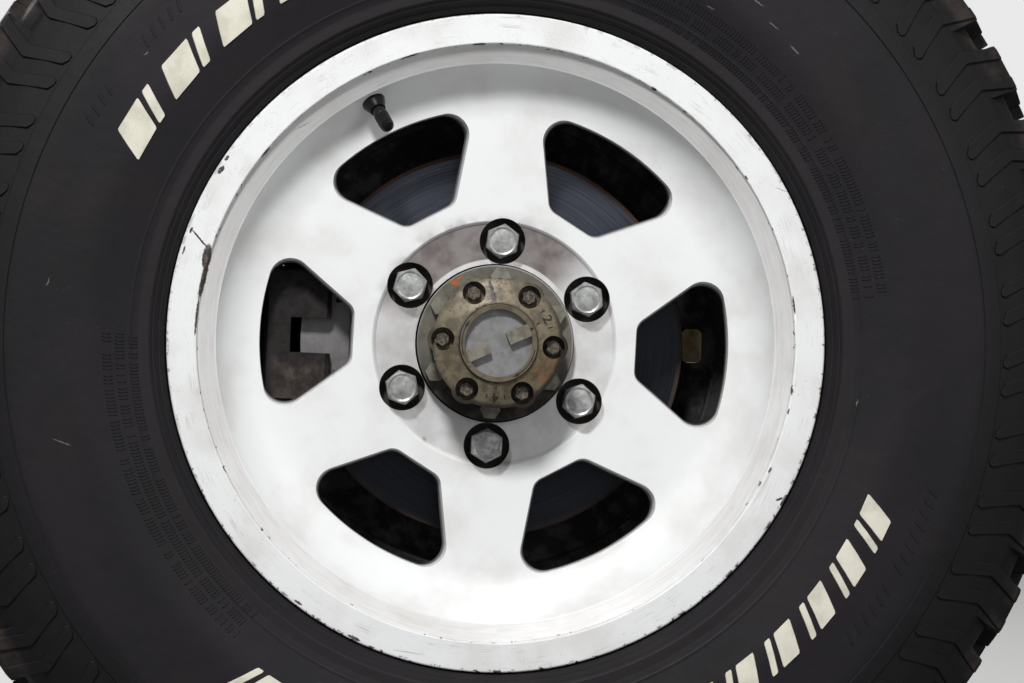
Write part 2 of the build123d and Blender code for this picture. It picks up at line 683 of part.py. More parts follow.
def hub():
    """Hub: tail for the disc, flange for the wheel and nose for the locking hub."""
    inner_seat = BEARING_INNER_OD / 2 + RUNNING_GAP
    outer_seat = BEARING_OUTER_OD / 2 + RUNNING_GAP
    inner_end = HUB_END - BEARING_INNER_WIDTH
    outer_end = HUB_NOSE_FACE + BEARING_OUTER_WIDTH
    body = ring(
        (HUB_TAIL_RADIUS, HUB_END, 1.0),
        (HUB_TAIL_RADIUS, DISC_SEAT, 0.0),
        (HUB_SHOULDER_RADIUS, DISC_SEAT, 1.0),
        (HUB_SHOULDER_RADIUS, HUB_SHOULDER_END, 2.0),
        (HUB_WAIST_RADIUS, HUB_FLANGE_BACK, 2.0),
        (HUB_FLANGE_RADIUS, HUB_FLANGE_BACK, 1.5),
        (HUB_FLANGE_RADIUS, MOUNT_FACE, 1.5),
        (HUB_NOSE_RADIUS, MOUNT_FACE, 0.0),
        (HUB_NOSE_RADIUS, HUB_NOSE_FACE, 0.0),
        (outer_seat, HUB_NOSE_FACE, 0.0),
        (outer_seat, outer_end, 0.0),
        (HUB_BORE_RADIUS, outer_end, 0.0),
        (HUB_BORE_RADIUS, inner_end, 0.0),
        (inner_seat, inner_end, 0.0),
        (inner_seat, HUB_END, 0.0),
    )
    hole = rod(
        STUD_RADIUS + RUNNING_GAP, HUB_SHOULDER_END, MOUNT_FACE - CUT_OVERRUN, z=STUD_CIRCLE / 2
    )
    return body - copies(hole, STUD_COUNT, STUD_ANGLE)


def bearing(bore_radius, outer_diameter, start, end):
    """Tapered roller bearing as one plain ring that turns with the hub."""
    return ring(
        (bore_radius + RUNNING_GAP, start, 0.0),
        (outer_diameter / 2, start, 0.0),
        (outer_diameter / 2, end, 0.0),
        (bore_radius + RUNNING_GAP, end, 0.0),
    )


def spindle():
    """Hollow spindle: spigot in the knuckle, flange, and the seats of both bearings."""
    taper_start = HUB_END - BEARING_INNER_WIDTH - SPINDLE_TAPER_INSET
    taper_end = HUB_NOSE_FACE + BEARING_OUTER_WIDTH + SPINDLE_TAPER_INSET
    tip = HUB_NOSE_FACE - SPINDLE_REACH
    spigot_end = -DRIVE_BORE_DEPTH - SPIGOT_END_GAP
    body = ring(
        (SPINDLE_BORE_RADIUS, spigot_end, 0.0),
        (SPIGOT_RADIUS - SLIP_GAP, spigot_end, 1.0),
        (SPIGOT_RADIUS - SLIP_GAP, SHIELD_FACE, 0.0),
        (SPINDLE_FLANGE_RADIUS, SHIELD_FACE, 0.0),
        (SPINDLE_FLANGE_RADIUS, SPINDLE_FACE, 2.0),
        (SPINDLE_INNER_RADIUS + SPINDLE_ROOT_WIDTH, SPINDLE_FACE, 3.0),
        (SPINDLE_INNER_RADIUS, HUB_END, 0.0),
        (SPINDLE_INNER_RADIUS, taper_start, 0.0),
        (SPINDLE_OUTER_RADIUS, taper_end, 0.0),
        (SPINDLE_OUTER_RADIUS, tip, 1.0),
        (SPINDLE_BORE_RADIUS, tip, 0.0),
    )
    hole = rod(
        SPINDLE_BOLT_RADIUS + SLIP_GAP, SHIELD_FACE + CUT_OVERRUN, SPINDLE_FACE - CUT_OVERRUN,
        z=SPINDLE_BOLT_CIRCLE / 2,
    )
    return body - copies(hole, SPINDLE_BOLT_COUNT, 0.0)


def spindle_bolt():
    """Bolt that clamps the spindle and the dust shield to the knuckle, drawn at the top."""
    place = SPINDLE_BOLT_CIRCLE / 2
    head = hex_bar(SPINDLE_BOLT_HEX, SPINDLE_FACE, SPINDLE_FACE - SPINDLE_BOLT_HEAD, z=place)
    shank = rod(SPINDLE_BOLT_RADIUS, SPINDLE_FACE, -KNUCKLE_DEPTH / 2, z=place)
    return head + shank


def brake_disc():
    """Vented disc: two friction plates joined by radial vanes, and the mounting flange."""
    bore = HUB_TAIL_RADIUS + SLIP_GAP
    middle = (DISC_OUTER_FACE + DISC_INNER_FACE) / 2
    plates = ring(
        (bore, DISC_SEAT, 0.0),
        (bore, DISC_SEAT + DISC_FLANGE_THICKNESS, 0.0),
        (DISC_INNER_RADIUS, DISC_SEAT + DISC_FLANGE_THICKNESS, 0.0),
        (DISC_INNER_RADIUS, DISC_INNER_FACE, 0.8),
        (DISC_RADIUS, DISC_INNER_FACE, 0.8),
        (DISC_RADIUS, middle + DISC_AIR_GAP / 2, 0.0),
        (DISC_INNER_RADIUS + DISC_SOLID_RING, middle + DISC_AIR_GAP / 2, 0.0),
        (DISC_INNER_RADIUS + DISC_SOLID_RING, middle - DISC_AIR_GAP / 2, 0.0),
        (DISC_RADIUS, middle - DISC_AIR_GAP / 2, 0.0),
        (DISC_RADIUS, DISC_OUTER_FACE, 0.8),
        (DISC_INNER_RADIUS, DISC_OUTER_FACE, 0.8),
        (DISC_INNER_RADIUS, DISC_SEAT, 0.0),
    )
    vane_inner = DISC_INNER_RADIUS + DISC_SOLID_RING - CUT_OVERRUN
    vane_outer = DISC_RADIUS - DISC_VANE_INSET
    vane = Pos(0, middle, (vane_inner + vane_outer) / 2) * Box(
        DISC_VANE_THICKNESS, DISC_AIR_GAP, vane_outer - vane_inner
    )
    return plates + copies(vane, DISC_VANE_COUNT, 0.0)


def lobed(radius, lobe_radius):
    """Outline of the locking hub: a round with one lobe at each cover screw."""
    outline = Circle(radius)
    for index in range(SCREW_COUNT):
        turn = -(SCREW_ANGLE + 360 * index / SCREW_COUNT)
        outline += Rot(0, 0, turn) * Pos(0, SCREW_CIRCLE / 2) * Circle(lobe_radius)
    return outline


def lock_hub_body():
    """Housing of the locking hub, bolted on the nose of the hub."""
    body = rod(HUB_NOSE_RADIUS, HUB_NOSE_FACE, LOCK_FLANGE_FACE)
    body += slab(lobed(LOCK_BODY_RADIUS, LOBE_RADIUS), LOCK_FLANGE_FACE, LOCK_BODY_FACE)
    cavity = rod(LOCK_CAVITY_RADIUS, HUB_NOSE_FACE + CUT_OVERRUN, LOCK_BODY_FACE - CUT_OVERRUN)
    bolt_hole = rod(
        SCREW_RADIUS + SLIP_GAP, LOCK_FLANGE_FACE, LOCK_BODY_FACE - CUT_OVERRUN, z=SCREW_CIRCLE / 2
    )
    return body - cavity - copies(bolt_hole, SCREW_COUNT, SCREW_ANGLE)


def lock_hub_nut():
    """Nut that holds the locking hub's flange, drawn at the top."""
    place = LOCK_NUT_CIRCLE / 2
    return hex_bar(LOCK_NUT_HEX, LOCK_FLANGE_FACE, LOCK_FLANGE_FACE - LOCK_NUT_HEIGHT, z=place)


def lock_hub_cover():
    """Cover with a cone face, lobes, screw pockets and the bore of the dial."""
    skirt = slab(lobed(COVER_RADIUS, COVER_LOBE_RADIUS), LOCK_BODY_FACE, COVER_FACE)
    lobe_edge = COVER_RADIUS + COVER_LOBE_REACH
    cone = ring(
        (0.0, LOCK_BODY_FACE, 0.0),
        (lobe_edge, LOCK_BODY_FACE, 0.0),
        (lobe_edge, COVER_EDGE_FACE + COVER_CHAMFER, 0.0),
        (COVER_RADIUS, COVER_EDGE_FACE, 0.0),
        (DIAL_RADIUS, COVER_FACE, 0.0),
        (0.0, COVER_FACE, 0.0),
    )
    cover = skirt & cone
    pocket = rod(
        SCREW_POCKET_RADIUS, screw_seat(), COVER_FACE - CUT_OVERRUN, z=SCREW_CIRCLE / 2
    )
    hole = rod(
        SCREW_RADIUS + SLIP_GAP, LOCK_BODY_FACE + CUT_OVERRUN, COVER_FACE, z=SCREW_CIRCLE / 2
    )
    bore = rod(DIAL_RADIUS + SLIP_GAP, COVER_FACE - CUT_OVERRUN, DIAL_FACE + DIAL_DEPTH)
    return cover - copies(pocket + hole, SCREW_COUNT, SCREW_ANGLE) - bore


def screw_seat():
    """Station of the floor of a cover screw's pocket."""
    return COVER_EDGE_FACE + SCREW_POCKET_DEPTH


def lock_hub_screw():
    """Flanged cover screw, drawn at the top."""
    place = SCREW_CIRCLE / 2
    seat = screw_seat()
    flange = rod(SCREW_FLANGE_RADIUS, seat, seat - SCREW_FLANGE_HEIGHT, z=place)
    head = hex_bar(SCREW_HEX, seat, seat - SCREW_HEAD_HEIGHT, z=place)
    shank = rod(SCREW_RADIUS, seat, LOCK_BODY_FACE + 2 * SCREW_HEAD_HEIGHT, z=place)
    return flange + head + shank


def lock_hub_dial():
    """Dial with a round recess crossed by two half bars for the fingers."""
    recess_radius = DIAL_RADIUS - DIAL_RIM
    floor = DIAL_FACE + DIAL_RECESS
    dial = rod(DIAL_RADIUS, DIAL_FACE, DIAL_FACE + DIAL_DEPTH)
    dial = chamfer(dial.edges().group_by(Axis.Y)[0], DIAL_CHAMFER)
    recess = rod(recess_radius, floor, DIAL_FACE - CUT_OVERRUN)
    bar_length = 2 * (recess_radius + CUT_OVERRUN)
    bars = Pos(0, (floor + DIAL_FACE) / 2, 0) * Box(DIAL_BAR_WIDTH, DIAL_RECESS, bar_length)
    bars -= Pos(0, (floor + DIAL_FACE) / 2, 0) * Box(bar_length, DIAL_RECESS, DIAL_BAR_GAP)
    recess -= turned(bars, DIAL_BAR_ANGLE)
    return dial - recess


def dust_shield():
    """Pressed shield behind the disc, with a turned lip, and notched for the caliper and the tie rod."""
    bore = SPIGOT_RADIUS + SLIP_GAP
    outer = SHIELD_STEP_RADIUS + SHIELD_STEP
    stepped = SHIELD_FACE - SHIELD_STEP
    shield = ring(
        (bore, -KNUCKLE_DEPTH, 0.0),
        (SHIELD_STEP_RADIUS, -KNUCKLE_DEPTH, SHIELD_BEND),
        (outer, -KNUCKLE_DEPTH - SHIELD_STEP, SHIELD_BEND),
        (SHIELD_RADIUS, -KNUCKLE_DEPTH - SHIELD_STEP, SHIELD_BEND + SHIELD_THICKNESS),
        (SHIELD_RADIUS, stepped - SHIELD_LIP, 0.0),
        (SHIELD_RADIUS - SHIELD_THICKNESS, stepped - SHIELD_LIP, 0.0),
        (SHIELD_RADIUS - SHIELD_THICKNESS, stepped, SHIELD_BEND),
        (outer - SHIELD_BEND_SHIFT, stepped, SHIELD_BEND),
        (SHIELD_STEP_RADIUS - SHIELD_BEND_SHIFT, SHIELD_FACE, SHIELD_BEND),
        (bore, SHIELD_FACE, 0.0),
    )
    notch = Pos(-SHIELD_RADIUS, stepped, 0) * Box(
        2 * (SHIELD_RADIUS - BRACKET_INNER + SHIELD_ROOM), 4 * SHIELD_STEP, 2 * SHIELD_NOTCH_HALF
    )
    eye_notch = Pos(SHIELD_EYE_NOTCH_PLACE + SHIELD_RADIUS / 2, stepped, 0) * Box(
        SHIELD_RADIUS, 4 * SHIELD_STEP, 2 * SHIELD_EYE_NOTCH_HALF
    )
    hole = rod(
        SPINDLE_BOLT_RADIUS + SLIP_GAP, -KNUCKLE_DEPTH + CUT_OVERRUN, SHIELD_FACE - CUT_OVERRUN,
        z=SPINDLE_BOLT_CIRCLE / 2,
    )
    shield -= turned(notch, CALIPER_TURN)
    return shield - eye_notch - copies(hole, SPINDLE_BOLT_COUNT, 0.0)


def knuckle():
    """Cast knuckle: ring, two ball-joint arms, caliper ears and steering-arm seat."""
    body = rod(KNUCKLE_RING_RADIUS, 0.0, -KNUCKLE_DEPTH)
    neck_depth = BALL_JOINT_Y - WEB_OUTER_Y
    rib_y = -KNUCKLE_DEPTH + RIB_FACE_INSET + RIB_DEPTH / 2
    # Columns: direction up or down, height of the ball joint, radius and half height of its head
    arms = [
        (1, UPPER_BALL_HEIGHT, UPPER_HEAD_RADIUS, UPPER_HEAD_HALF),
        (-1, LOWER_BALL_HEIGHT, LOWER_HEAD_RADIUS, LOWER_HEAD_HALF),
    ]
    for way, height, radius, half in arms:
        middle = way * height
        web = link(0, 0, KNUCKLE_ARM_ROOT, 0, middle - way * (radius - half), radius)
        body += slab(web, WEB_OUTER_Y, WEB_INNER_Y)
        body += Pos(0, rib_y, middle / 2) * Box(RIB_THICKNESS, RIB_DEPTH, height)
        body += Pos(0, WEB_OUTER_Y + neck_depth / 2, middle) * Box(2 * radius, neck_depth, 2 * half)
        body += post(radius, middle - half, middle + half, y=BALL_JOINT_Y)
        body -= post(
            BALL_BORE_RADIUS, middle - half - CUT_OVERRUN, middle + half + CUT_OVERRUN, y=BALL_JOINT_Y
        )
    for side in (1, -1):
        ear = link(
            -EAR_ROOT_PLACE, side * EAR_ROOT_SPREAD, EAR_ROOT_RADIUS,
            -BRACKET_BOLT_PLACE, side * BRACKET_BOLT_SPREAD, EAR_PAD_RADIUS,
        )
        body += turned(slab(ear, WEB_OUTER_Y, WEB_INNER_Y), CALIPER_TURN)
        hole = rod(
            BRACKET_BOLT_RADIUS + SLIP_GAP, WEB_OUTER_Y - CUT_OVERRUN, WEB_INNER_Y + CUT_OVERRUN,
            x=-BRACKET_BOLT_PLACE, z=side * BRACKET_BOLT_SPREAD,
        )
        body -= turned(hole, CALIPER_TURN)
    seat = link(0, 0, KNUCKLE_ARM_ROOT, ARM_SEAT_PLACE, 0, ARM_SEAT_RADIUS)
    body += slab(seat, WEB_OUTER_Y, WEB_INNER_Y)
    for side in (1, -1):
        body -= rod(
            ARM_BOLT_RADIUS + SLIP_GAP, WEB_OUTER_Y - CUT_OVERRUN, WEB_INNER_Y + CUT_OVERRUN,
            x=ARM_BOLT_PLACE, z=side * ARM_BOLT_SPREAD,
        )
    bolt_hole = rod(
        SPINDLE_BOLT_RADIUS + SLIP_GAP, -KNUCKLE_DEPTH - CUT_OVERRUN, -KNUCKLE_DEPTH / 2 + CUT_OVERRUN,
        z=SPINDLE_BOLT_CIRCLE / 2,
    )
    body -= rod(DRIVE_BORE_RADIUS, CUT_OVERRUN, -DRIVE_BORE_DEPTH)
    body -= rod(SPIGOT_RADIUS, 0.0, -KNUCKLE_DEPTH - CUT_OVERRUN)
    return body - copies(bolt_hole, SPINDLE_BOLT_COUNT, 0.0)


def steering_arm():
    """Forged arm with the tie-rod eye, bolted on the inboard side of the knuckle."""
    front = WEB_INNER_Y
    back = front + ARM_THICKNESS
    arm = slab(
        link(
            ARM_ROOT_PLACE, 0, ARM_SEAT_RADIUS - ARM_SEAT_MARGIN,
            TIE_ROD_PLACE - ARM_TIP_INSET, 0, ARM_TIP_RADIUS,
        ),
        front, back,
    )
    middle = (front + back) / 2
    half = TIE_ROD_EYE_HEIGHT / 2
    arm += post(TIE_ROD_EYE_RADIUS, -half, half, x=TIE_ROD_PLACE, y=middle)
    arm -= post(
        TIE_ROD_BORE_RADIUS, -half - CUT_OVERRUN, half + CUT_OVERRUN, x=TIE_ROD_PLACE, y=middle
    )
    arm -= rod(KNUCKLE_RING_RADIUS + SLIP_GAP, front - CUT_OVERRUN, back + CUT_OVERRUN)
    for side in (1, -1):
        arm -= rod(
            ARM_BOLT_RADIUS + SLIP_GAP, front - CUT_OVERRUN, back + CUT_OVERRUN,
            x=ARM_BOLT_PLACE, z=side * ARM_BOLT_SPREAD,
        )
    return arm


def steering_arm_bolt(side):
    """One bolt of the steering arm."""
    x = ARM_BOLT_PLACE
    z = side * ARM_BOLT_SPREAD
    back = WEB_INNER_Y + ARM_THICKNESS
    head = hex_bar(ARM_BOLT_HEX, back, back + ARM_BOLT_HEAD, x=x, z=z)
    return head + rod(ARM_BOLT_RADIUS, back, WEB_OUTER_Y, x=x, z=z)


def caliper_bracket():
    """U-shaped bracket on the knuckle with two arms that reach over the disc."""
    bracket = slab(
        Pos(-(BRACKET_INNER + BRACKET_OUTER) / 2, 0)
        * RectangleRounded(BRACKET_OUTER - BRACKET_INNER, 2 * BRACKET_HALF, BRACKET_CORNER),
        WEB_OUTER_Y, BRACKET_FACE,
    )
    # Columns: where the notch starts, its half width
    notches = [
        (BRACKET_INNER + BRACKET_BAR, CYLINDER_RADIUS + BRACKET_ROOM),
        (FINGER_TIP - BRACKET_ROOM, CALIPER_HALF + BRACKET_ROOM),
    ]
    for start, half in notches:
        length = BRACKET_OUTER + 2 * CUT_OVERRUN - start
        bracket -= Pos(-start - length / 2, (WEB_OUTER_Y + BRACKET_FACE) / 2, 0) * Box(
            length, 2 * BRACKET_THICKNESS, 2 * half
        )
    arm_end = PAD_OUTER_PLATE_FACE
    for side in (1, -1):
        arm = slab(
            Pos(-(BRACKET_ARM_INNER + BRACKET_OUTER) / 2, side * (BRACKET_ARM_HALF + BRACKET_HALF) / 2)
            * RectangleRounded(
                BRACKET_OUTER - BRACKET_ARM_INNER, BRACKET_HALF - BRACKET_ARM_HALF, BRACKET_ARM_CORNER
            ),
            BRACKET_FACE, arm_end,
        )
        bracket += arm
        bracket -= rod(
            PIN_RADIUS + SLIP_GAP, WEB_OUTER_Y + CUT_OVERRUN, WEB_OUTER_Y - PIN_DEPTH - CUT_OVERRUN,
            x=-PIN_PLACE, z=side * PIN_SPREAD,
        )
        bracket -= rod(
            BRACKET_BOLT_RADIUS + SLIP_GAP, WEB_OUTER_Y + CUT_OVERRUN, BRACKET_FACE - CUT_OVERRUN,
            x=-BRACKET_BOLT_PLACE, z=side * BRACKET_BOLT_SPREAD,
        )
    return turned(bracket, CALIPER_TURN)


def bracket_bolt(side):
    """Bolt that holds the caliper bracket on its knuckle ear."""
    x = -BRACKET_BOLT_PLACE
    z = side * BRACKET_BOLT_SPREAD
    head = hex_bar(BRACKET_BOLT_HEX, WEB_INNER_Y, WEB_INNER_Y + BRACKET_BOLT_HEAD, x=x, z=z)
    shank = rod(BRACKET_BOLT_RADIUS, WEB_INNER_Y, BRACKET_FACE, x=x, z=z)
    return turned(head + shank, CALIPER_TURN)


def caliper_back():
    """Station of the closed inboard end of the caliper's cylinder."""
    return PAD_INNER_PLATE_FACE + SEAT_GAP + CYLINDER_LENGTH


def ear_face():
    """Inboard face of the caliper's slide-pin ears."""
    return caliper_back() - EAR_INSET


def caliper_body():
    """Floating caliper: cylinder, bridge over the disc, two fingers and slide-pin ears."""
    bridge_inner = DISC_RADIUS + MOVING_GAP
    finger_back = PAD_OUTER_PLATE_FACE - SEAT_GAP
    finger_front = finger_back - FINGER_THICKNESS
    cylinder_face = PAD_INNER_PLATE_FACE + SEAT_GAP
    back = caliper_back()
    shell = slab(
        Pos(-(FINGER_TIP + CALIPER_OUTER) / 2, 0)
        * RectangleRounded(CALIPER_OUTER - FINGER_TIP, 2 * CALIPER_HALF, CALIPER_CORNER),
        cylinder_face + CALIPER_SHOULDER, finger_front,
    )
    shell = chamfer(shell.edges().group_by(Axis.Y)[0], CALIPER_CHAMFER)
    disc_room = Pos(-bridge_inner, (cylinder_face + finger_back) / 2, 0) * Box(
        2 * bridge_inner, cylinder_face - finger_back, 4 * CALIPER_HALF
    )
    disc_room &= rod(bridge_inner, cylinder_face, finger_back)
    finger_gap = Pos(-FINGER_TIP, (finger_back + finger_front) / 2, 0) * Box(
        2 * (bridge_inner - FINGER_TIP), 3 * FINGER_THICKNESS, FINGER_GAP
    )
    body = shell - disc_room - finger_gap
    body += rod(CYLINDER_RADIUS, cylinder_face, back, x=-CYLINDER_PLACE)
    body += rod(HOSE_BOSS_RADIUS, cylinder_face, back, x=-CYLINDER_PLACE - CYLINDER_RADIUS)
    pin_face = ear_face()
    for side in (1, -1):
        ear = link(
            -CYLINDER_PLACE, 0, CYLINDER_RADIUS - EAR_ROOT_MARGIN,
            -PIN_PLACE, side * PIN_SPREAD, EAR_RADIUS,
        )
        body += slab(ear, pin_face, pin_face - EAR_THICKNESS)
        body -= rod(
            PIN_RADIUS + SLIP_GAP, pin_face + CUT_OVERRUN, pin_face - EAR_THICKNESS - CUT_OVERRUN,
            x=-PIN_PLACE, z=side * PIN_SPREAD,
        )
    piston_room = PAD_INNER_PLATE_FACE + PISTON_LENGTH + SEAT_GAP
    body -= rod(
        PISTON_RADIUS + SLIP_GAP, cylinder_face - CUT_OVERRUN, piston_room, x=-CYLINDER_PLACE
    )
    body -= rod(
        HOSE_PORT_RADIUS, back + CUT_OVERRUN, back - HOSE_PORT_DEPTH, x=-CYLINDER_PLACE - CYLINDER_RADIUS
    )
    body -= rod(BLEED_RADIUS + SLIP_GAP, back + CUT_OVERRUN, back - BLEED_DEPTH, *bleed_place())
    return turned(body, CALIPER_TURN)


def bleed_place():
    """Place (x, z) of the bleed screw, at the top of the cylinder."""
    return -CYLINDER_PLACE, CYLINDER_RADIUS - BLEED_INSET


def bleed_screw():
    """Bleed screw in the closed end of the cylinder."""
    x, z = bleed_place()
    back = caliper_back()
    shank = rod(BLEED_RADIUS, back - BLEED_DEPTH + SEAT_GAP, back + BLEED_REACH, x=x, z=z)
    collar = hex_bar(BLEED_HEX, back, back + BLEED_COLLAR, x=x, z=z)
    return turned(shank + collar, CALIPER_TURN)


def caliper_piston():
    """Piston that presses the inner pad."""
    end = PAD_INNER_PLATE_FACE + PISTON_LENGTH
    piston = rod(PISTON_RADIUS, PAD_INNER_PLATE_FACE, end, x=-CYLINDER_PLACE)
    return turned(piston, CALIPER_TURN)


def slide_pin(side):
    """Slide pin with its hexagonal head."""
    face = ear_face()
    x = -PIN_PLACE
    z = side * PIN_SPREAD
    head = hex_bar(PIN_HEAD_HEX, face, face + PIN_HEAD_HEIGHT, x=x, z=z)
    return turned(head + rod(PIN_RADIUS, face, WEB_OUTER_Y - PIN_DEPTH, x=x, z=z), CALIPER_TURN)


def pin_boot(side):
    """Rubber boot on the slide pin between the caliper's ear and the bracket."""
    start = ear_face() - EAR_THICKNESS
    x = -PIN_PLACE
    z = side * PIN_SPREAD
    boot = rod(BOOT_RADIUS, start, WEB_OUTER_Y, x=x, z=z)
    boot -= rod(PIN_RADIUS + SLIP_GAP, start + CUT_OVERRUN, WEB_OUTER_Y - CUT_OVERRUN, x=x, z=z)
    return turned(boot, CALIPER_TURN)


def pad_sector(inner, outer, half_angle):
    """Outline of a brake pad: part of a ring, centred at nine o'clock."""
    reach = 2 * outer
    spread = reach * tan(radians(half_angle))
    wedge = Polygon((0, 0), (-reach, spread), (-reach, -spread), align=None)
    return (Circle(outer) - Circle(inner)) & wedge


def pad_plates():
    """Steel back plates of the outer and the inner pad, each with its centre tab."""
    middle = (PAD_INNER + PAD_OUTER) / 2
    outline = pad_sector(middle - PAD_SHOULDER_DROP, PAD_OUTER + PAD_PLATE_MARGIN, PAD_HALF_ANGLE)
    outline += Pos(-middle, 0) * Rectangle(PAD_OUTER - PAD_INNER, 2 * PAD_TAB_HALF)
    return [
        turned(slab(outline, face, face + way * PAD_PLATE), CALIPER_TURN)
        for face, way in ((PAD_OUTER_PLATE_FACE, 1), (PAD_INNER_PLATE_FACE, -1))
    ]


def pad_linings():
    """Friction linings of the two pads."""
    outline = pad_sector(
        PAD_INNER + PAD_LINING_MARGIN, PAD_OUTER, PAD_HALF_ANGLE - PAD_LINING_MARGIN
    )
    return [
        turned(slab(outline, face, face + way * PAD_LINING), CALIPER_TURN)
        for face, way in ((DISC_INNER_FACE + PAD_GAP, 1), (DISC_OUTER_FACE - PAD_GAP, -1))
    ]


def nodes():
    """Every sub-part by name: one solid, or a list of like solids that don't touch."""
    stem, cap = valve_pieces()
    return {
        "tyre": tyre(),
        "wheel_rim": wheel_rim(),
        "wheel_casting": wheel_casting(),
        "wheel_nuts": copies(wheel_nut(), STUD_COUNT, STUD_ANGLE),
        "wheel_studs": copies(wheel_stud(), STUD_COUNT, STUD_ANGLE),
        "valve_stem": stem,
        "valve_cap": cap,
        "hub": hub(),
        "bearing_inner": bearing(
            SPINDLE_INNER_RADIUS, BEARING_INNER_OD, HUB_END, HUB_END - BEARING_INNER_WIDTH
        ),
        "bearing_outer": bearing(
            SPINDLE_OUTER_RADIUS, BEARING_OUTER_OD, HUB_NOSE_FACE + BEARING_OUTER_WIDTH, HUB_NOSE_FACE
        ),
        "brake_disc": brake_disc(),
        "lock_hub_body": lock_hub_body(),
        "lock_hub_nuts": copies(lock_hub_nut(), STUD_COUNT, STUD_ANGLE),
        "lock_hub_cover": lock_hub_cover(),
        "lock_hub_dial": lock_hub_dial(),
        "lock_hub_screws": copies(lock_hub_screw(), SCREW_COUNT, SCREW_ANGLE),
        "knuckle": knuckle(),
        "spindle": spindle(),
        "spindle_bolts": copies(spindle_bolt(), SPINDLE_BOLT_COUNT, 0.0),
        "dust_shield": dust_shield(),
        "steering_arm": steering_arm(),
        "steering_arm_bolts": [steering_arm_bolt(side) for side in (1, -1)],
        "caliper_bracket": caliper_bracket(),
        "caliper_bracket_bolts": [bracket_bolt(side) for side in (1, -1)],
        "caliper_body": caliper_body(),
        "caliper_piston": caliper_piston(),
        "caliper_pins": [slide_pin(side) for side in (1, -1)],
        "caliper_boots": [pin_boot(side) for side in (1, -1)],
        "bleed_screw": bleed_screw(),
        "pad_plates": pad_plates(),
        "pad_linings": pad_linings(),
    }


def write(name, shape):
    """Write one sub-part, all its solids in one file."""
    pieces = shape if isinstance(shape, list) else [shape]
    solids = [solid for piece in pieces for solid in piece.solids()]
    export_step(Compound(children=solids), f"parts/{name}.step")


os.makedirs("parts", exist_ok=True)
for node_name, node_shape in nodes().items():
    write(node_name, node_shape)
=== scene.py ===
"""Off-road front wheel end: its finishes, its finer pieces and the studio round it, in metres.

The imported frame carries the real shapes. This file gives every surface its finish, puts a tyre with its
relief and tread, turned nuts and a ribbed valve cap over the plain ones, adds the small moulded marks and
the edging of the dust shield, and sets the camera and the lamps.
Outboard, the side that faces the camera, is -Y. Angles run clockwise from the top as the camera sees them.
"""

import functools
import logging
import math
import random
from collections.abc import Sequence
from dataclasses import dataclass
from enum import Enum

import bmesh
import bpy
import numpy as np
from mathutils import Matrix, Vector


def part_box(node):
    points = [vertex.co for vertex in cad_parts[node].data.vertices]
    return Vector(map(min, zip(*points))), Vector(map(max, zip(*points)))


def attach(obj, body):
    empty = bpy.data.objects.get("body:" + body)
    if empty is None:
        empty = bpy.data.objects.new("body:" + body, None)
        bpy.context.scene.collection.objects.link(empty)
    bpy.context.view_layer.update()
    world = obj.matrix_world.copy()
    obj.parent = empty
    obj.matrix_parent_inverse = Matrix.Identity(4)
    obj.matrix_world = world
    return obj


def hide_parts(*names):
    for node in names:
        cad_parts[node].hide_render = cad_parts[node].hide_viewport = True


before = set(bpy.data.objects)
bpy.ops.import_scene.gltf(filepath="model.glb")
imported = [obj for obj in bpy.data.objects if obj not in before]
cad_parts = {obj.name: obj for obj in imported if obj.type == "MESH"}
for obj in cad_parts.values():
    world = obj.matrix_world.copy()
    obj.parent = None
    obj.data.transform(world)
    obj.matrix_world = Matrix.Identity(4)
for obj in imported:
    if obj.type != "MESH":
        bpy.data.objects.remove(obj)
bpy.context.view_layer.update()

LOG = logging.getLogger("front_wheel_end")
MM = 0.001
SMOOTH_ANGLE = math.radians(32)

Colour = tuple[float, float, float, float]


class Body(Enum):
    """Bodies of the frame that pieces ride on."""

    WHEEL = "wheel_group"
    KNUCKLE = "knuckle_group"


class Slot(Enum):
    """Material slots of the record, given with each added piece."""

    TYRE = "tyre_rubber"
    NUTS = "nut_steel"
    CAP = "cap_plastic"
    COVER = "lock_cover_alloy"
    DIAL = "dial_alloy"
    SHIELD = "shield_steel"


class Side(Enum):
    """Side of the tyre that a piece of relief stands on."""

    OUTBOARD = 1
    INBOARD = -1


def srgb(red: int, green: int, blue: int) -> Colour:
    """Colour as it shows on a screen, turned into light.

    Args:
        red: Red part, 0 to 255.
        green: Green part, 0 to 255.
        blue: Blue part, 0 to 255.

    Returns:
        The linear colour, opaque.
    """
    linear = [
        part / 255 / 12.92 if part <= 10 else ((part / 255 + 0.055) / 1.055) ** 2.4
        for part in (red, green, blue)
    ]
    return (linear[0], linear[1], linear[2], 1.0)


def spot(radius: float, angle: float, y: float) -> Vector:
    """Point near the spin axis.

    Args:
        radius: Distance from the axis.
        angle: Degrees clockwise from the top.
        y: Station along the axis.

    Returns:
        The point in the row frame.
    """
    turn = math.radians(angle)
    return Vector((radius * math.sin(turn), y, radius * math.cos(turn)))


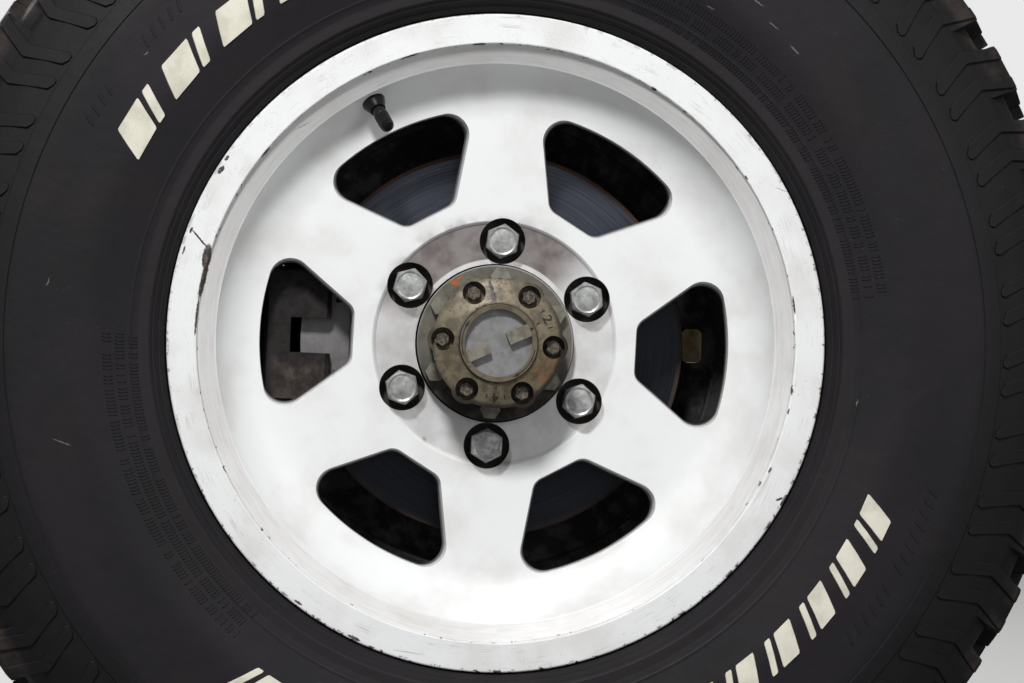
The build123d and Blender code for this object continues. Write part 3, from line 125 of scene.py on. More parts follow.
class Value:
    """A number worked out at each point of a surface, written with Python's operators."""

    def __init__(self, shader: "Shader", socket: bpy.types.NodeSocket) -> None:
        """Wrap an output socket.

        Args:
            shader: Material that the socket belongs to.
            socket: Output that carries the number.
        """
        self.shader = shader
        self.socket = socket

    def __add__(self, other: "Number") -> "Value":
        """Sum."""
        return self.shader.math("ADD", self, other)

    def __sub__(self, other: "Number") -> "Value":
        """Difference."""
        return self.shader.math("SUBTRACT", self, other)

    def __rsub__(self, other: "Number") -> "Value":
        """Difference with the value on the right."""
        return self.shader.math("SUBTRACT", other, self)

    def __mul__(self, other: "Number") -> "Value":
        """Product."""
        return self.shader.math("MULTIPLY", self, other)

    def __pow__(self, other: "Number") -> "Value":
        """Power."""
        return self.shader.math("POWER", self, other)

    def least(self, other: "Number") -> "Value":
        """Smaller of the two."""
        return self.shader.math("MINIMUM", self, other)

    def most(self, other: "Number") -> "Value":
        """Larger of the two."""
        return self.shader.math("MAXIMUM", self, other)

    def fade(self, low: float, high: float) -> "Value":
        """Smooth step.

        Args:
            low: Value where the result is 0.
            high: Value where the result is 1.

        Returns:
            A share from 0 to 1.
        """
        step = self.shader.node(
            "ShaderNodeMapRange",
            {"interpolation_type": "SMOOTHSTEP"},
            {"Value": self, "From Min": low, "From Max": high},
        )
        return Value(self.shader, step.outputs["Result"])

    def drop(self, low: float, high: float) -> "Value":
        """Smooth step down, from 1 to 0."""
        return 1 - self.fade(low, high)

    def between(self, low: float, high: float, edge: float) -> "Value":
        """Band.

        Args:
            low: Start of the band.
            high: End of the band.
            edge: Width over which each side fades.

        Returns:
            1 in the band and 0 outside it.
        """
        return self.fade(low - edge, low + edge) * self.drop(high - edge, high + edge)

    __radd__ = __add__
    __rmul__ = __mul__


Number = Value | float | int


@dataclass(frozen=True)
class Mark:
    """One oblong blemish on a face that looks along the spin axis, in millimetres and degrees."""

    x: float
    z: float
    length: float
    width: float
    slope: float = 0.0


class Shader:
    """One material while its node tree is being made."""

    def __init__(self, name: str) -> None:
        """Start an empty material.

        Args:
            name: Name of the material.
        """
        self.material = bpy.data.materials.new(name)
        self.material.use_nodes = True
        self.tree = self.material.node_tree
        self.tree.nodes.clear()
        self.place = self.node("ShaderNodeTexCoord").outputs["Object"]
        parts = self.node("ShaderNodeSeparateXYZ", inputs={0: self.place})
        self.x, self.y, self.z = (Value(self, socket) for socket in parts.outputs)

    def node(
        self,
        kind: str,
        settings: dict[str, object] | None = None,
        inputs: dict[str | int, object] | None = None,
    ) -> bpy.types.Node:
        """Add a node.

        Args:
            kind: Blender's name of the node type.
            settings: Properties of the node, set first.
            inputs: Values or links of its sockets, by name or index.

        Returns:
            The node.
        """
        made = self.tree.nodes.new(kind)
        for key, setting in (settings or {}).items():
            setattr(made, key, setting)
        for key, given in (inputs or {}).items():
            socket = made.inputs[key]
            if isinstance(given, Value):
                self.tree.links.new(given.socket, socket)
            elif isinstance(given, bpy.types.NodeSocket):
                self.tree.links.new(given, socket)
            else:
                socket.default_value = given
        return made

    def math(self, operation: str, *values: Number) -> Value:
        """Work out one step of shader maths.

        Args:
            operation: Blender's name of the operation.
            values: Its numbers, in order.

        Returns:
            The result.
        """
        made = self.node("ShaderNodeMath", {"operation": operation}, dict(enumerate(values)))
        return Value(self, made.outputs[0])

    def vector(self, operation: str, *values: object) -> bpy.types.NodeSocket:
        """Work out one step of vector maths and return its vector."""
        made = self.node("ShaderNodeVectorMath", {"operation": operation}, dict(enumerate(values)))
        return made.outputs["Vector"]

    def polar(self, shift: tuple[float, float] = (0.0, 0.0)) -> tuple[Value, Value]:
        """Radius from the spin axis, and angle clockwise from the top in radians.

        Args:
            shift: How far the axis is moved, along x and z.

        Returns:
            The radius and the angle.
        """
        x, z = self.x - shift[0], self.z - shift[1]
        return (x * x + z * z) ** 0.5, self.math("ARCTAN2", x, z)

    def nearest(
        self, count: int, first: float, circle: float, shift: tuple[float, float] = (0.0, 0.0)
    ) -> Value:
        """Distance from the nearest of several equal holes on a circle.

        Args:
            count: Number of holes.
            first: Angle of the first hole in degrees.
            circle: Radius of the circle.
            shift: How far the whole pattern is moved, along x and z.

        Returns:
            Distance from the hole's axis.
        """
        radius, angle = self.polar(shift)
        half = math.pi / count
        local = self.math("WRAP", angle - math.radians(first), half, -half)
        across = radius * self.math("SINE", local)
        along = radius * self.math("COSINE", local) - circle
        return (across * across + along * along) ** 0.5

    def facing(self, angle: Value, middle: float) -> Value:
        """Share that is 1 at one angle round the spin axis and 0 opposite it.

        Args:
            angle: Angle from the top in radians.
            middle: Angle where the share is 1, in degrees.

        Returns:
            The share.
        """
        return self.math("COSINE", angle - math.radians(middle)) * 0.5 + 0.5

    def noise(
        self,
        scale: float,
        detail: float = 4.0,
        roughness: float = 0.55,
        at: bpy.types.NodeSocket | None = None,
    ) -> Value:
        """Cloudy pattern.

        Args:
            scale: Features per metre.
            detail: Octaves of finer pattern.
            roughness: Strength of the finer octaves.
            at: Coordinates, or the surface's own place.

        Returns:
            A share round 0.5.
        """
        made = self.node(
            "ShaderNodeTexNoise",
            inputs={
                "Vector": at or self.place, "Scale": scale, "Detail": detail, "Roughness": roughness,
            },
        )
        return Value(self, made.outputs[0])

    def cells(self, scale: float, at: bpy.types.NodeSocket | None = None) -> Value:
        """Distance from the middle of the nearest random cell, in cells.

        Args:
            scale: Cells per metre.
            at: Coordinates, or the surface's own place.

        Returns:
            The distance.
        """
        made = self.node("ShaderNodeTexVoronoi", inputs={"Vector": at or self.place, "Scale": scale})
        return Value(self, made.outputs["Distance"])

    def streaks(self, along: float, across: float, deep: float = 40.0) -> Value:
        """Pattern drawn out round the spin axis.

        Args:
            along: Features per radian.
            across: Features per metre of radius.
            deep: Features per metre along the axis.

        Returns:
            A share round 0.5.
        """
        radius, angle = self.polar()
        drawn = self.node(
            "ShaderNodeCombineXYZ", inputs={0: radius * across, 1: angle * along, 2: self.y * deep}
        )
        return self.noise(1.0, 3.0, 0.6, drawn.outputs[0])

    def ragged(self, scale: float, reach: float) -> bpy.types.NodeSocket:
        """Coordinates shaken by a pattern, for ragged edges.

        Args:
            scale: Features per metre of the pattern.
            reach: How far a point moves at most.

        Returns:
            The shaken place.
        """
        shake = self.node("ShaderNodeTexNoise", inputs={"Vector": self.place, "Scale": scale, "Detail": 3.0})
        centred = self.vector("SUBTRACT", shake.outputs["Color"], (0.5, 0.5, 0.5))
        return self.vector("MULTIPLY_ADD", centred, (2 * reach,) * 3, self.place)

    def marks(self, marks: Sequence[Mark], at: bpy.types.NodeSocket, soft: float = 0.15) -> Value:
        """Oblong blemishes from a table.

        Args:
            marks: The blemishes.
            at: Coordinates, ragged or plain.
            soft: Share of a mark over which its edge fades.

        Returns:
            1 on a blemish and 0 elsewhere.
        """
        nearest: Value | None = None
        for mark in marks:
            local = self.node(
                "ShaderNodeMapping",
                {"vector_type": "TEXTURE"},
                {
                    "Vector": at,
                    "Location": (mark.x * MM, 0.0, mark.z * MM),
                    "Rotation": (0.0, -math.radians(mark.slope), 0.0),
                    "Scale": (mark.length / 2 * MM, 10.0, mark.width / 2 * MM),
                },
            )
            size = self.node("ShaderNodeVectorMath", {"operation": "LENGTH"}, {0: local.outputs[0]})
            distance = Value(self, size.outputs["Value"])
            nearest = distance if nearest is None else nearest.least(distance)
        return nearest.drop(1 - soft, 1 + soft)

    def mix(self, share: Number, first: object, second: object) -> bpy.types.NodeSocket:
        """Blend two colours.

        Args:
            share: How much of the second colour.
            first: Colour or socket.
            second: Colour or socket.

        Returns:
            The blended colour.
        """
        made = self.node("ShaderNodeMix", {"data_type": "RGBA"}, {0: share, 6: first, 7: second})
        return made.outputs[2]

    def bump(
        self, height: Value, depth: float, before: bpy.types.NodeSocket | None = None
    ) -> bpy.types.NodeSocket:
        """Relief that only changes the light.

        Args:
            height: Share of the depth at each point.
            depth: Height of the relief.
            before: Normal that this relief is laid on.

        Returns:
            The normal.
        """
        inputs: dict[str | int, object] = {"Height": height, "Distance": depth}
        if before is not None:
            inputs["Normal"] = before
        return self.node("ShaderNodeBump", inputs=inputs).outputs["Normal"]

    def finish(self, **inputs: object) -> bpy.types.Material:
        """Close the material with a Principled surface.

        Args:
            inputs: Its sockets by name, with _ for each space.

        Returns:
            The material.
        """
        named = {key.replace("_", " "): given for key, given in inputs.items()}
        surface = self.node("ShaderNodeBsdfPrincipled", inputs=named)
        self.node("ShaderNodeOutputMaterial", inputs={"Surface": surface.outputs["BSDF"]})
        return self.material


@dataclass(frozen=True)
class Finish:
    """Finish of a surface; each kind makes its own material."""

    name: str

    def make(self) -> bpy.types.Material:
        """Make the material."""
        raise NotImplementedError


@functools.cache
def material_of(finish: Finish) -> bpy.types.Material:
    """Material of a finish, made once."""
    return finish.make()


def dress(finish: Finish, *nodes: str) -> None:
    """Give CAD nodes a finish.

    Args:
        finish: The finish.
        nodes: Names of the nodes.
    """
    for name in nodes:
        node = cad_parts[name]
        for slot in node.material_slots:
            slot.material = material_of(finish)
        LOG.info("%s: %s", name, finish.name)


LIP_CHIPS = (
    # Outer edge of the lip
    Mark(-180.0, 123.0, 4.0, 2.2, 50), Mark(-184.0, 115.0, 6.5, 3.0, 55), Mark(-203.7, 74.9, 4.0, 1.6, 65),
    Mark(-208.5, 61.5, 6.0, 1.4, 72), Mark(163.3, -148.9, 5.0, 1.8, 42), Mark(189.4, -104.8, 5.0, 1.6, 20),
    Mark(190.8, -107.6, 3.4, 1.3, 70), Mark(-95.7, -196.3, 9.0, 2.0, -26),
    Mark(-132.7, -172.7, 6.0, 1.8, -35),
    # Gouge across the left of the lip
    Mark(-196.9, 67.9, 20.0, 1.2, -50), Mark(-193.4, 57.4, 17.0, 5.6, 80), Mark(-195.6, 42.5, 26.0, 3.4, 77),
    Mark(-200.0, 18.0, 26.0, 1.4, 84),
    # Inner edge of the lip
    Mark(-154.5, 127.0, 9.0, 1.1, 50), Mark(-58.5, 191.5, 13.0, 0.9, 18), Mark(-12.0, 199.8, 9.0, 1.0, 3),
    Mark(105.2, 170.4, 4.0, 1.4, -32), Mark(167.3, 111.0, 3.4, 1.2, -56), Mark(199.4, 25.5, 12.0, 1.4, -83),
    Mark(198.2, -32.7, 5.0, 1.2, 81), Mark(195.6, -46.0, 4.0, 1.2, 77), Mark(183.0, -85.4, 4.4, 1.4, 65),
)

HAIRLINES = (
    Mark(187.4, 114.3, 14.0, 0.5, -58), Mark(191.4, 102.9, 10.0, 0.5, -20),
    Mark(-130.0, 145.0, 12.0, 0.5, 30), Mark(-60.0, -206.0, 18.0, 0.5, -10),
)

PAD_RUST = (Mark(62.4, 28.4, 2.6, 8.0, 8), Mark(-48.0, -66.0, 3.0, 5.0, 0))

SIDEWALL_SCUFFS = (
    Mark(141.0, 223.0, 5.0, 0.8, -30), Mark(173.0, 226.0, 7.0, 0.8, -35), Mark(183.0, 211.0, 7.0, 0.8, -40),
    Mark(197.0, 195.0, 8.0, 0.8, -45), Mark(-287.0, -65.0, 11.0, 0.8, -20), Mark(-232.0, 190.0, 3.0, 1.0, 40),
    Mark(240.0, -40.0, 4.0, 0.8, 80), Mark(-120.0, -225.0, 6.0, 0.8, 10), Mark(-296.0, 40.0, 5.0, 0.8, 70),
)


@dataclass(frozen=True)
class WheelPaint(Finish):
    """White paint: chipped on the lip, stained on the pad under a painted shadow arc, painted nut shadows
    beside the pockets, greasy nut pockets darkened as painted shade, dusty inboard and darkened there as
    painted shade.
    """

    name: str = "white_paint"
    white: Colour = srgb(236, 237, 237)
    dull: Colour = srgb(222, 221, 219)
    worn: Colour = srgb(188, 184, 180)
    scuffed: Colour = srgb(178, 172, 166)
    speck: Colour = srgb(92, 78, 68)
    primer: Colour = srgb(52, 48, 46)
    metal: Colour = srgb(104, 92, 84)
    # Tone of the pad's stain and of its painted shadow arc
    stain_and_shadow_tone: Colour = srgb(92, 80, 78)
    # Grey of the painted nut shadows
    nut_shadow: Colour = srgb(126, 122, 118)
    rust: Colour = srgb(140, 92, 62)
    # Grease in the pockets, darkened almost to black as painted shade
    grease_and_shade: Colour = srgb(22, 19, 18)
    # Brake dust inboard, dark also as painted shade
    dust: Colour = srgb(46, 42, 40)
    dry_dust: Colour = srgb(72, 64, 58)
    face: float = -121 * MM
    inboard_start: float = -127 * MM
    inboard_end: float = -117 * MM
    lip_low: float = 188.5 * MM
    lip_high: float = 200.0 * MM
    rim_edge: float = 217.6 * MM
    rim_end: float = 219.2 * MM
    pad_radius: float = 82 * MM
    pad_edge: float = 1.5 * MM
    halo_width: float = 11 * MM
    shadow_arc_start: float = 56.4 * MM
    shadow_arc_end: float = 58 * MM
    pocket_count: int = 6
    pocket_radius: float = 15.7 * MM
    pocket_circle: float = 69.85 * MM
    pocket_angle: float = 4.5
    pocket_reach: float = 88 * MM
    # Painted shadows of the nuts. Columns: shift from the pockets along x and z, radii between which the
    # shadow fades
    nut_shadow_places: tuple[tuple[tuple[float, float], float, float], ...] = (
        ((3.4 * MM, -7 * MM), 13 * MM, 14.6 * MM),
        ((4.6 * MM, -14 * MM), 7 * MM, 9.4 * MM),
    )
    # Angles clockwise from the top, in degrees
    specks_at: float = -50
    shadow_arc_at: float = -12
    stain_at: float = -80
    halo_at: float = -24
    wear_at: float = 160

    def make(self) -> bpy.types.Material:
        """Lay the white, its stains, chips and dirt over each other."""
        paint = Shader(self.name)
        radius, angle = paint.polar()
        ragged = paint.ragged(900, 0.9 * MM)
        outboard = paint.y.drop(self.face - 2 * MM, self.face + 2 * MM)
        cloud = paint.noise(22, 5.0)
        colour = paint.mix(cloud.fade(0.42, 0.72), self.white, self.dull)

        # Worn step inside the lip, scuffs and specks on the lip
        band = radius.between(self.lip_low, self.lip_high, 0.8 * MM)
        streaks = paint.streaks(9, 900)
        colour = paint.mix(band * (0.34 + 0.22 * streaks.fade(0.4, 0.7)), colour, self.worn)
        lip = radius.fade(self.lip_high - 1 * MM, self.lip_high)
        scuff = lip * paint.noise(48, 3.0).fade(0.46, 0.7) * streaks.fade(0.5, 0.68)
        colour = paint.mix(scuff * 0.55, colour, self.scuffed)
        upper_left = paint.facing(angle, self.specks_at)
        speckle = paint.cells(520, ragged).drop(0.10, 0.17) * paint.noise(75, 2.0).fade(0.56, 0.66)
        fine = paint.cells(1150, ragged).drop(0.14, 0.24) * paint.noise(52, 3.0).fade(0.47, 0.62)
        dots = (speckle * (0.10 + 0.7 * lip)).most(fine * lip * (0.15 + 0.6 * upper_left))
        colour = paint.mix(dots * outboard, colour, self.speck)

        # Stained pad with a painted shadow arc across its top, painted nut shadows beside its pockets, and
        # rust
        pad = radius.drop(self.pad_radius - self.pad_edge, self.pad_radius + self.pad_edge) * outboard
        halo = radius.drop(self.pad_radius, self.pad_radius + self.halo_width) * outboard
        clouds = paint.noise(70, 5.0).fade(0.36, 0.66)
        # Painted shadow: the dark arc across the top of the pad stands in for the shadow of the pad's upper
        # edge
        arc = paint.facing(angle, self.shadow_arc_at).fade(0.6, 0.86) * radius.fade(self.shadow_arc_start, self.shadow_arc_end)
        left = paint.facing(angle, self.stain_at).fade(0.5, 0.95)
        # The pad's stain and its painted shadow arc share one tone
        stain_and_shadow = (pad * (0.17 + 0.14 * left + 0.13 * clouds)).most(pad * arc * (0.84 + 0.12 * clouds))
        stain_and_shadow = stain_and_shadow.most(halo * paint.facing(angle, self.halo_at).fade(0.7, 0.97) * clouds * 0.42)
        colour = paint.mix(stain_and_shadow, colour, self.stain_and_shadow_tone)
        # Painted shadows: grey tear-drops below and right of each pocket stand in for the nuts' shadows
        nut_shadow, nut_shadow_tail = (self.pockets(paint, low, high, shift) for shift, low, high in self.nut_shadow_places)
        nut_shadow = nut_shadow.most(nut_shadow_tail) * radius.drop(self.pocket_reach, self.pocket_reach + 4 * MM) * outboard
        colour = paint.mix(nut_shadow * (0.5 + 0.24 * clouds), colour, self.nut_shadow)
        colour = paint.mix(paint.marks(PAD_RUST, ragged, 0.5) * pad * 0.6, colour, self.rust)

        # Chips and scratches down to the metal
        chips = paint.marks(LIP_CHIPS, ragged)
        hairlines = paint.marks(HAIRLINES, ragged, 0.4) * 0.6
        patchy = paint.noise(190, 3.0)
        low = 0.25 + 0.75 * paint.facing(angle, self.wear_at)
        edge = radius.fade(self.rim_edge, self.rim_end) * patchy.fade(0.55, 0.59) * low
        inner = radius.between(self.lip_high - 0.6 * MM, self.lip_high + 0.6 * MM, 0.3 * MM)
        inner = inner * patchy.fade(0.63, 0.66)
        bare = chips.most(edge).most(inner).most(hairlines) * outboard
        metal = paint.mix(paint.noise(400, 4.0).fade(0.45, 0.65), self.primer, self.metal)
        colour = paint.mix(bare, colour, metal)

        # Greasy nut pockets darkened as painted shade, and dust inboard darkened further as painted shade
        pocket_grease_and_shade = self.pockets(paint, self.pocket_radius - 0.2 * MM, self.pocket_radius + 0.1 * MM)
        pocket_grease_and_shade = pocket_grease_and_shade * radius.drop(self.pocket_reach, self.pocket_reach + 2 * MM)
        # Painted shade: the pockets go almost black, over the grease that keeps them glossy
        colour = paint.mix(pocket_grease_and_shade * 0.97, colour, self.grease_and_shade)
        # Brake dust inboard, darkened as painted shade so that the barrel behind the windows reads dark
        inboard = paint.y.fade(self.inboard_start, self.inboard_end)
        dirty = inboard * (0.86 + 0.14 * cloud.fade(0.4, 0.6))
        grime = paint.mix(paint.noise(60, 5.0).fade(0.4, 0.7), self.dust, self.dry_dust)
        colour = paint.mix(dirty, colour, grime)

        rough = 0.34 + 0.10 * paint.noise(60, 4.0) + 0.3 * bare + 0.35 * stain_and_shadow + 0.3 * dirty - 0.1 * pocket_grease_and_shade
        normal = paint.bump(paint.noise(1400, 2.0), 0.012 * MM)
        normal = paint.bump(1 - bare, 0.12 * MM, normal)
        return paint.finish(Base_Color=colour, Roughness=rough, Normal=normal, IOR=1.48)

    def pockets(
        self, paint: Shader, low: float, high: float, shift: tuple[float, float] = (0.0, 0.0)
    ) -> Value:
        """Share that is 1 in the nut pockets, or in round painted nut shadows beside them.

        Args:
            paint: The material.
            low: Radius where the share starts to fall.
            high: Radius where it is 0.
            shift: How far the painted nut shadows lie from the pockets, along x and z.

        Returns:
            The share.
        """
        return paint.nearest(self.pocket_count, self.pocket_angle, self.pocket_circle, shift).drop(low, high)


@dataclass(frozen=True)
class TyreRubber(Finish):
    """Black rubber: purple and brown tints, dust in the tread, pale scuffs on the sidewall, painted shade
    towards the shoulder, and a rubbed band lightened as a painted highlight on the rim protector.
    """

    name: str = "tyre_rubber"
    black: Colour = srgb(15, 12, 16)
    pale: Colour = srgb(23, 19, 24)
    brown: Colour = srgb(26, 21, 21)
    # Rubbed rubber, lighter also as a painted highlight on the protector
    rubbed_and_highlit: Colour = srgb(36, 31, 33)
    # Near black of the painted shade towards the shoulder
    deep: Colour = srgb(7, 6, 7)
    dust: Colour = srgb(58, 50, 45)
    scuff: Colour = srgb(120, 114, 108)
    protector_low: float = 230 * MM
    protector_high: float = 239 * MM
    shoulder_shade_start: float = 312 * MM
    shoulder_shade_end: float = 345 * MM
    tread_start: float = 374 * MM
    groove_floor: float = 394 * MM

    def make(self) -> bpy.types.Material:
        """Lay tints, dust, scuffs, painted shade and a painted highlight over the black."""
        rubber = Shader(self.name)
        radius, _ = rubber.polar()
        ragged = rubber.ragged(700, 1.2 * MM)
        tint = rubber.noise(9, 5.0, 0.6)
        colour = rubber.mix(tint.fade(0.4, 0.68), self.black, self.pale)
        colour = rubber.mix(rubber.noise(16, 4.0).fade(0.5, 0.7) * 0.6, colour, self.brown)
        protector = radius.between(self.protector_low, self.protector_high, 2 * MM)
        # Protector band: rubbed rubber, lightened also as a painted highlight on its ridge
        colour = rubber.mix(protector * 0.4, colour, self.rubbed_and_highlit)
        # Painted shade: the sidewall darkens towards the shoulder
        colour = rubber.mix(radius.fade(self.shoulder_shade_start, self.shoulder_shade_end) * 0.7, colour, self.deep)
        tread = radius.fade(self.tread_start, self.tread_start + 8 * MM)
        low = radius.drop(self.groove_floor - 2 * MM, self.groove_floor + 6 * MM)
        dusty = tread * (0.06 + 0.66 * low) * rubber.noise(45, 5.0).fade(0.38, 0.62)
        colour = rubber.mix(dusty, colour, self.dust)
        speckle = rubber.cells(260, ragged).drop(0.06, 0.1) * rubber.noise(30, 2.0).fade(0.58, 0.66)
        scuffs = rubber.marks(SIDEWALL_SCUFFS, ragged, 0.4).most(speckle * 0.4)
        colour = rubber.mix(scuffs * 0.7, colour, self.scuff)
        rough = 0.55 + 0.16 * rubber.noise(38, 4.0) + 0.2 * dusty
        normal = rubber.bump(rubber.noise(1500, 3.0), 0.05 * MM)
        normal = rubber.bump(rubber.noise(70, 3.0), 0.35 * MM, normal)
        return rubber.finish(
            Base_Color=colour, Roughness=rough, Normal=normal, IOR=1.5, Specular_IOR_Level=0.3
        )


@dataclass(frozen=True)
class CreamRubber(Finish):
    """Cream rubber of the raised marks, a little dirty."""

    name: str = "cream_rubber"
    cream: Colour = srgb(222, 218, 202)
    shade: Colour = srgb(200, 196, 180)
    tint: Colour = srgb(188, 206, 188)
    speck: Colour = srgb(110, 104, 96)

    def make(self) -> bpy.types.Material:
        """Lay stains and specks over the cream."""
        rubber = Shader(self.name)
        colour = rubber.mix(rubber.noise(60, 5.0).fade(0.4, 0.7), self.cream, self.shade)
        colour = rubber.mix(rubber.noise(26, 2.0).fade(0.62, 0.74) * 0.7, colour, self.tint)
        specks = rubber.cells(900).drop(0.1, 0.2) * rubber.noise(160, 2.0).fade(0.5, 0.62)
        colour = rubber.mix(specks * 0.6, colour, self.speck)
        normal = rubber.bump(rubber.noise(900, 3.0), 0.06 * MM)
        return rubber.finish(Base_Color=colour, Roughness=0.58 + 0.1 * specks, Normal=normal)


@dataclass(frozen=True)
class WornMetal(Finish):
    """Bare, plated or cast metal with patches, grime and rust."""

    base: Colour = srgb(140, 140, 140)
    patch: Colour = srgb(110, 110, 110)
    grime: Colour = srgb(40, 36, 33)
    rust: Colour = srgb(120, 72, 42)
    grime_share: float = 0.4
    rust_share: float = 0.0
    metallic: float = 0.7
    roughness: float = 0.42
    grain: float = 900.0
    depth: float = 0.04 * MM
    clouds: float = 70.0

    def make(self) -> bpy.types.Material:
        """Lay patches, grime and rust over the metal."""
        metal = Shader(self.name)
        colour = metal.mix(metal.noise(self.clouds, 5.0).fade(0.38, 0.66), self.base, self.patch)
        top = 0.72 - 0.3 * self.grime_share
        dirt = metal.noise(self.clouds * 1.7, 6.0, 0.65).fade(top - 0.2, top)
        dirt = dirt * min(1.0, 2 * self.grime_share)
        colour = metal.mix(dirt, colour, self.grime)
        less = 0.3 * self.rust_share
        rusty = metal.noise(self.clouds * 2.6, 6.0, 0.7).fade(0.72 - less, 0.8 - less)
        rusty = rusty * min(1.0, 3 * self.rust_share)
        brown = metal.mix(metal.noise(self.grain, 3.0), self.rust, self.grime)
        colour = self.painted_shade(metal, metal.mix(rusty, colour, brown))
        clean = 1 - dirt.most(rusty)
        grain = metal.noise(self.grain, 4.0, 0.6)
        rough = self.roughness + 0.16 * (grain - 0.5) + 0.32 * (1 - clean)
        normal = metal.bump(grain + 0.6 * rusty, self.depth)
        return metal.finish(
            Base_Color=colour, Roughness=rough, Metallic=self.metallic * clean, Normal=normal
        )

    def painted_shade(self, metal: Shader, colour: bpy.types.NodeSocket) -> bpy.types.NodeSocket:
        """Colour with painted shade over it in some places; plain metal has none."""
        return colour


@dataclass(frozen=True)
class CaliperIron(WornMetal):
    """Cast iron under painted shadow, near black, on its upper and outer parts."""

    # Near black of the painted shadow
    black: Colour = srgb(12, 10, 10)
    painted_shade_low: float = -20 * MM
    painted_shade_high: float = -6 * MM
    painted_shade_outer: float = -150 * MM

    def painted_shade(self, metal: Shader, colour: bpy.types.NodeSocket) -> bpy.types.NodeSocket:
        """Colour with the near-black painted shadow over it."""
        # Painted shadow: near black above a height and beyond an outer line
        outer = metal.x.drop(self.painted_shade_outer - 5 * MM, self.painted_shade_outer + 5 * MM)
        share = metal.z.fade(self.painted_shade_low, self.painted_shade_high).most(outer)
        return metal.mix(share * 0.9, colour, self.black)


@dataclass(frozen=True)
class SweptDisc(Finish):
    """Brake disc: blue-grey swept rings with fine grooves, rust on its edge and its hat, and painted shade
    over its lower part.
    """

    name: str = "disc_iron"
    steel: Colour = srgb(100, 105, 118)
    groove: Colour = srgb(74, 78, 88)
    # Near black of the painted shade
    painted_shade: Colour = srgb(30, 30, 34)
    rust: Colour = srgb(86, 58, 42)
    old_rust: Colour = srgb(52, 40, 34)
    painted_shade_low: float = 34 * MM
    painted_shade_high: float = 70 * MM
    inner: float = 98 * MM
    outer: float = 131 * MM
    outboard_face: float = -81 * MM
    inboard_face: float = -60 * MM

    def make(self) -> bpy.types.Material:
        """Lay the grooves on the swept rings and rust on the rest, with painted shade over the lower part of
        both.
        """
        disc = Shader(self.name)
        radius, _ = disc.polar()
        faces = 1 - disc.y.between(self.outboard_face, self.inboard_face, 0.3 * MM)
        swept = radius.between(self.inner, self.outer, 0.8 * MM) * faces
        rings = disc.streaks(2, 2600)
        steel = disc.mix(rings.fade(0.4, 0.6), self.steel, self.groove)
        # Painted shade: the disc darkens below a height, where it lies in shade behind the wheel
        painted_shade = disc.z.drop(self.painted_shade_low, self.painted_shade_high)
        steel = disc.mix(painted_shade * 0.8, steel, self.painted_shade)
        rust = disc.mix(disc.noise(160, 5.0), self.rust, self.old_rust)
        rust = disc.mix(painted_shade * 0.6, rust, self.painted_shade)
        rough = 0.75 - 0.42 * swept + 0.1 * (rings - 0.5)
        normal = disc.bump(rings * swept + disc.noise(700, 4.0) * (1 - swept), 0.04 * MM)
        return disc.finish(
            Base_Color=disc.mix(swept, rust, steel), Roughness=rough, Metallic=0.85 * swept, Normal=normal
        )


@dataclass(frozen=True)
class CoverAlloy(Finish):
    """Cover of the locking hub: bronze and grimy, darker at its edges with grime and painted shade, painted
    shade on its lower right wall, and rusty at the lower right.
    """

    name: str = "cover_alloy"
    bronze: Colour = srgb(122, 111, 90)
    olive: Colour = srgb(92, 84, 68)
    dark: Colour = srgb(42, 35, 29)
    # Near black of the painted shade on the wall
    painted_wall_shade: Colour = srgb(26, 21, 17)
    rust: Colour = srgb(136, 96, 56)
    paint_mark: Colour = srgb(30, 18, 30)
    strokes: tuple[Mark, ...] = (Mark(-4.6, 37.0, 9.0, 2.6, 104), Mark(-3.2, 31.0, 7.0, 3.6, 100))
    rim: float = 43.5 * MM
    bore: float = 26.3 * MM
    wall_start: float = -175.5 * MM
    wall_end: float = -173.5 * MM
    # Angles clockwise from the top, in degrees
    rust_at: float = 128
    painted_wall_shade_at: float = 138

    def make(self) -> bpy.types.Material:
        """Lay grime, painted shade, rust and the mechanic's paint mark over the bronze."""
        alloy = Shader(self.name)
        radius, angle = alloy.polar()
        ragged = alloy.ragged(700, 0.8 * MM)
        colour = alloy.mix(alloy.noise(130, 5.0).fade(0.4, 0.62), self.bronze, self.olive)
        pitted = alloy.noise(420, 5.0, 0.7).fade(0.5, 0.66)
        # Grime and painted shade: darker at the rim's edge and round the dial
        edge = radius.fade(self.rim - 3.5 * MM, self.rim + 1 * MM)
        edge = edge.most(radius.drop(self.bore, self.bore + 2 * MM))
        dirt = (0.55 * edge + 0.5 * pitted).least(0.9)
        colour = alloy.mix(dirt, colour, self.dark)
        corner = alloy.facing(angle, self.rust_at).fade(0.8, 0.99) * alloy.noise(200, 5.0).fade(0.46, 0.62)
        colour = alloy.mix(corner * 0.5, colour, self.rust)
        # Painted shade on the cover's lower right wall
        low = alloy.facing(angle, self.painted_wall_shade_at).fade(0.3, 0.85)
        wall = alloy.y.fade(self.wall_start, self.wall_end)
        wall = wall.most(radius.fade(self.rim - 4.2 * MM, self.rim - 1 * MM)) * low
        colour = alloy.mix(wall * 0.85, colour, self.painted_wall_shade)
        colour = alloy.mix(alloy.marks(self.strokes, ragged, 0.3) * 0.9, colour, self.paint_mark)
        grain = alloy.noise(1100, 4.0, 0.65)
        return alloy.finish(
            Base_Color=colour,
            Roughness=0.5 + 0.22 * dirt + 0.12 * (grain - 0.5),
            Metallic=0.25 * (1 - 0.7 * dirt),
            Normal=alloy.bump(grain - 0.5 * pitted, 0.07 * MM),
        )


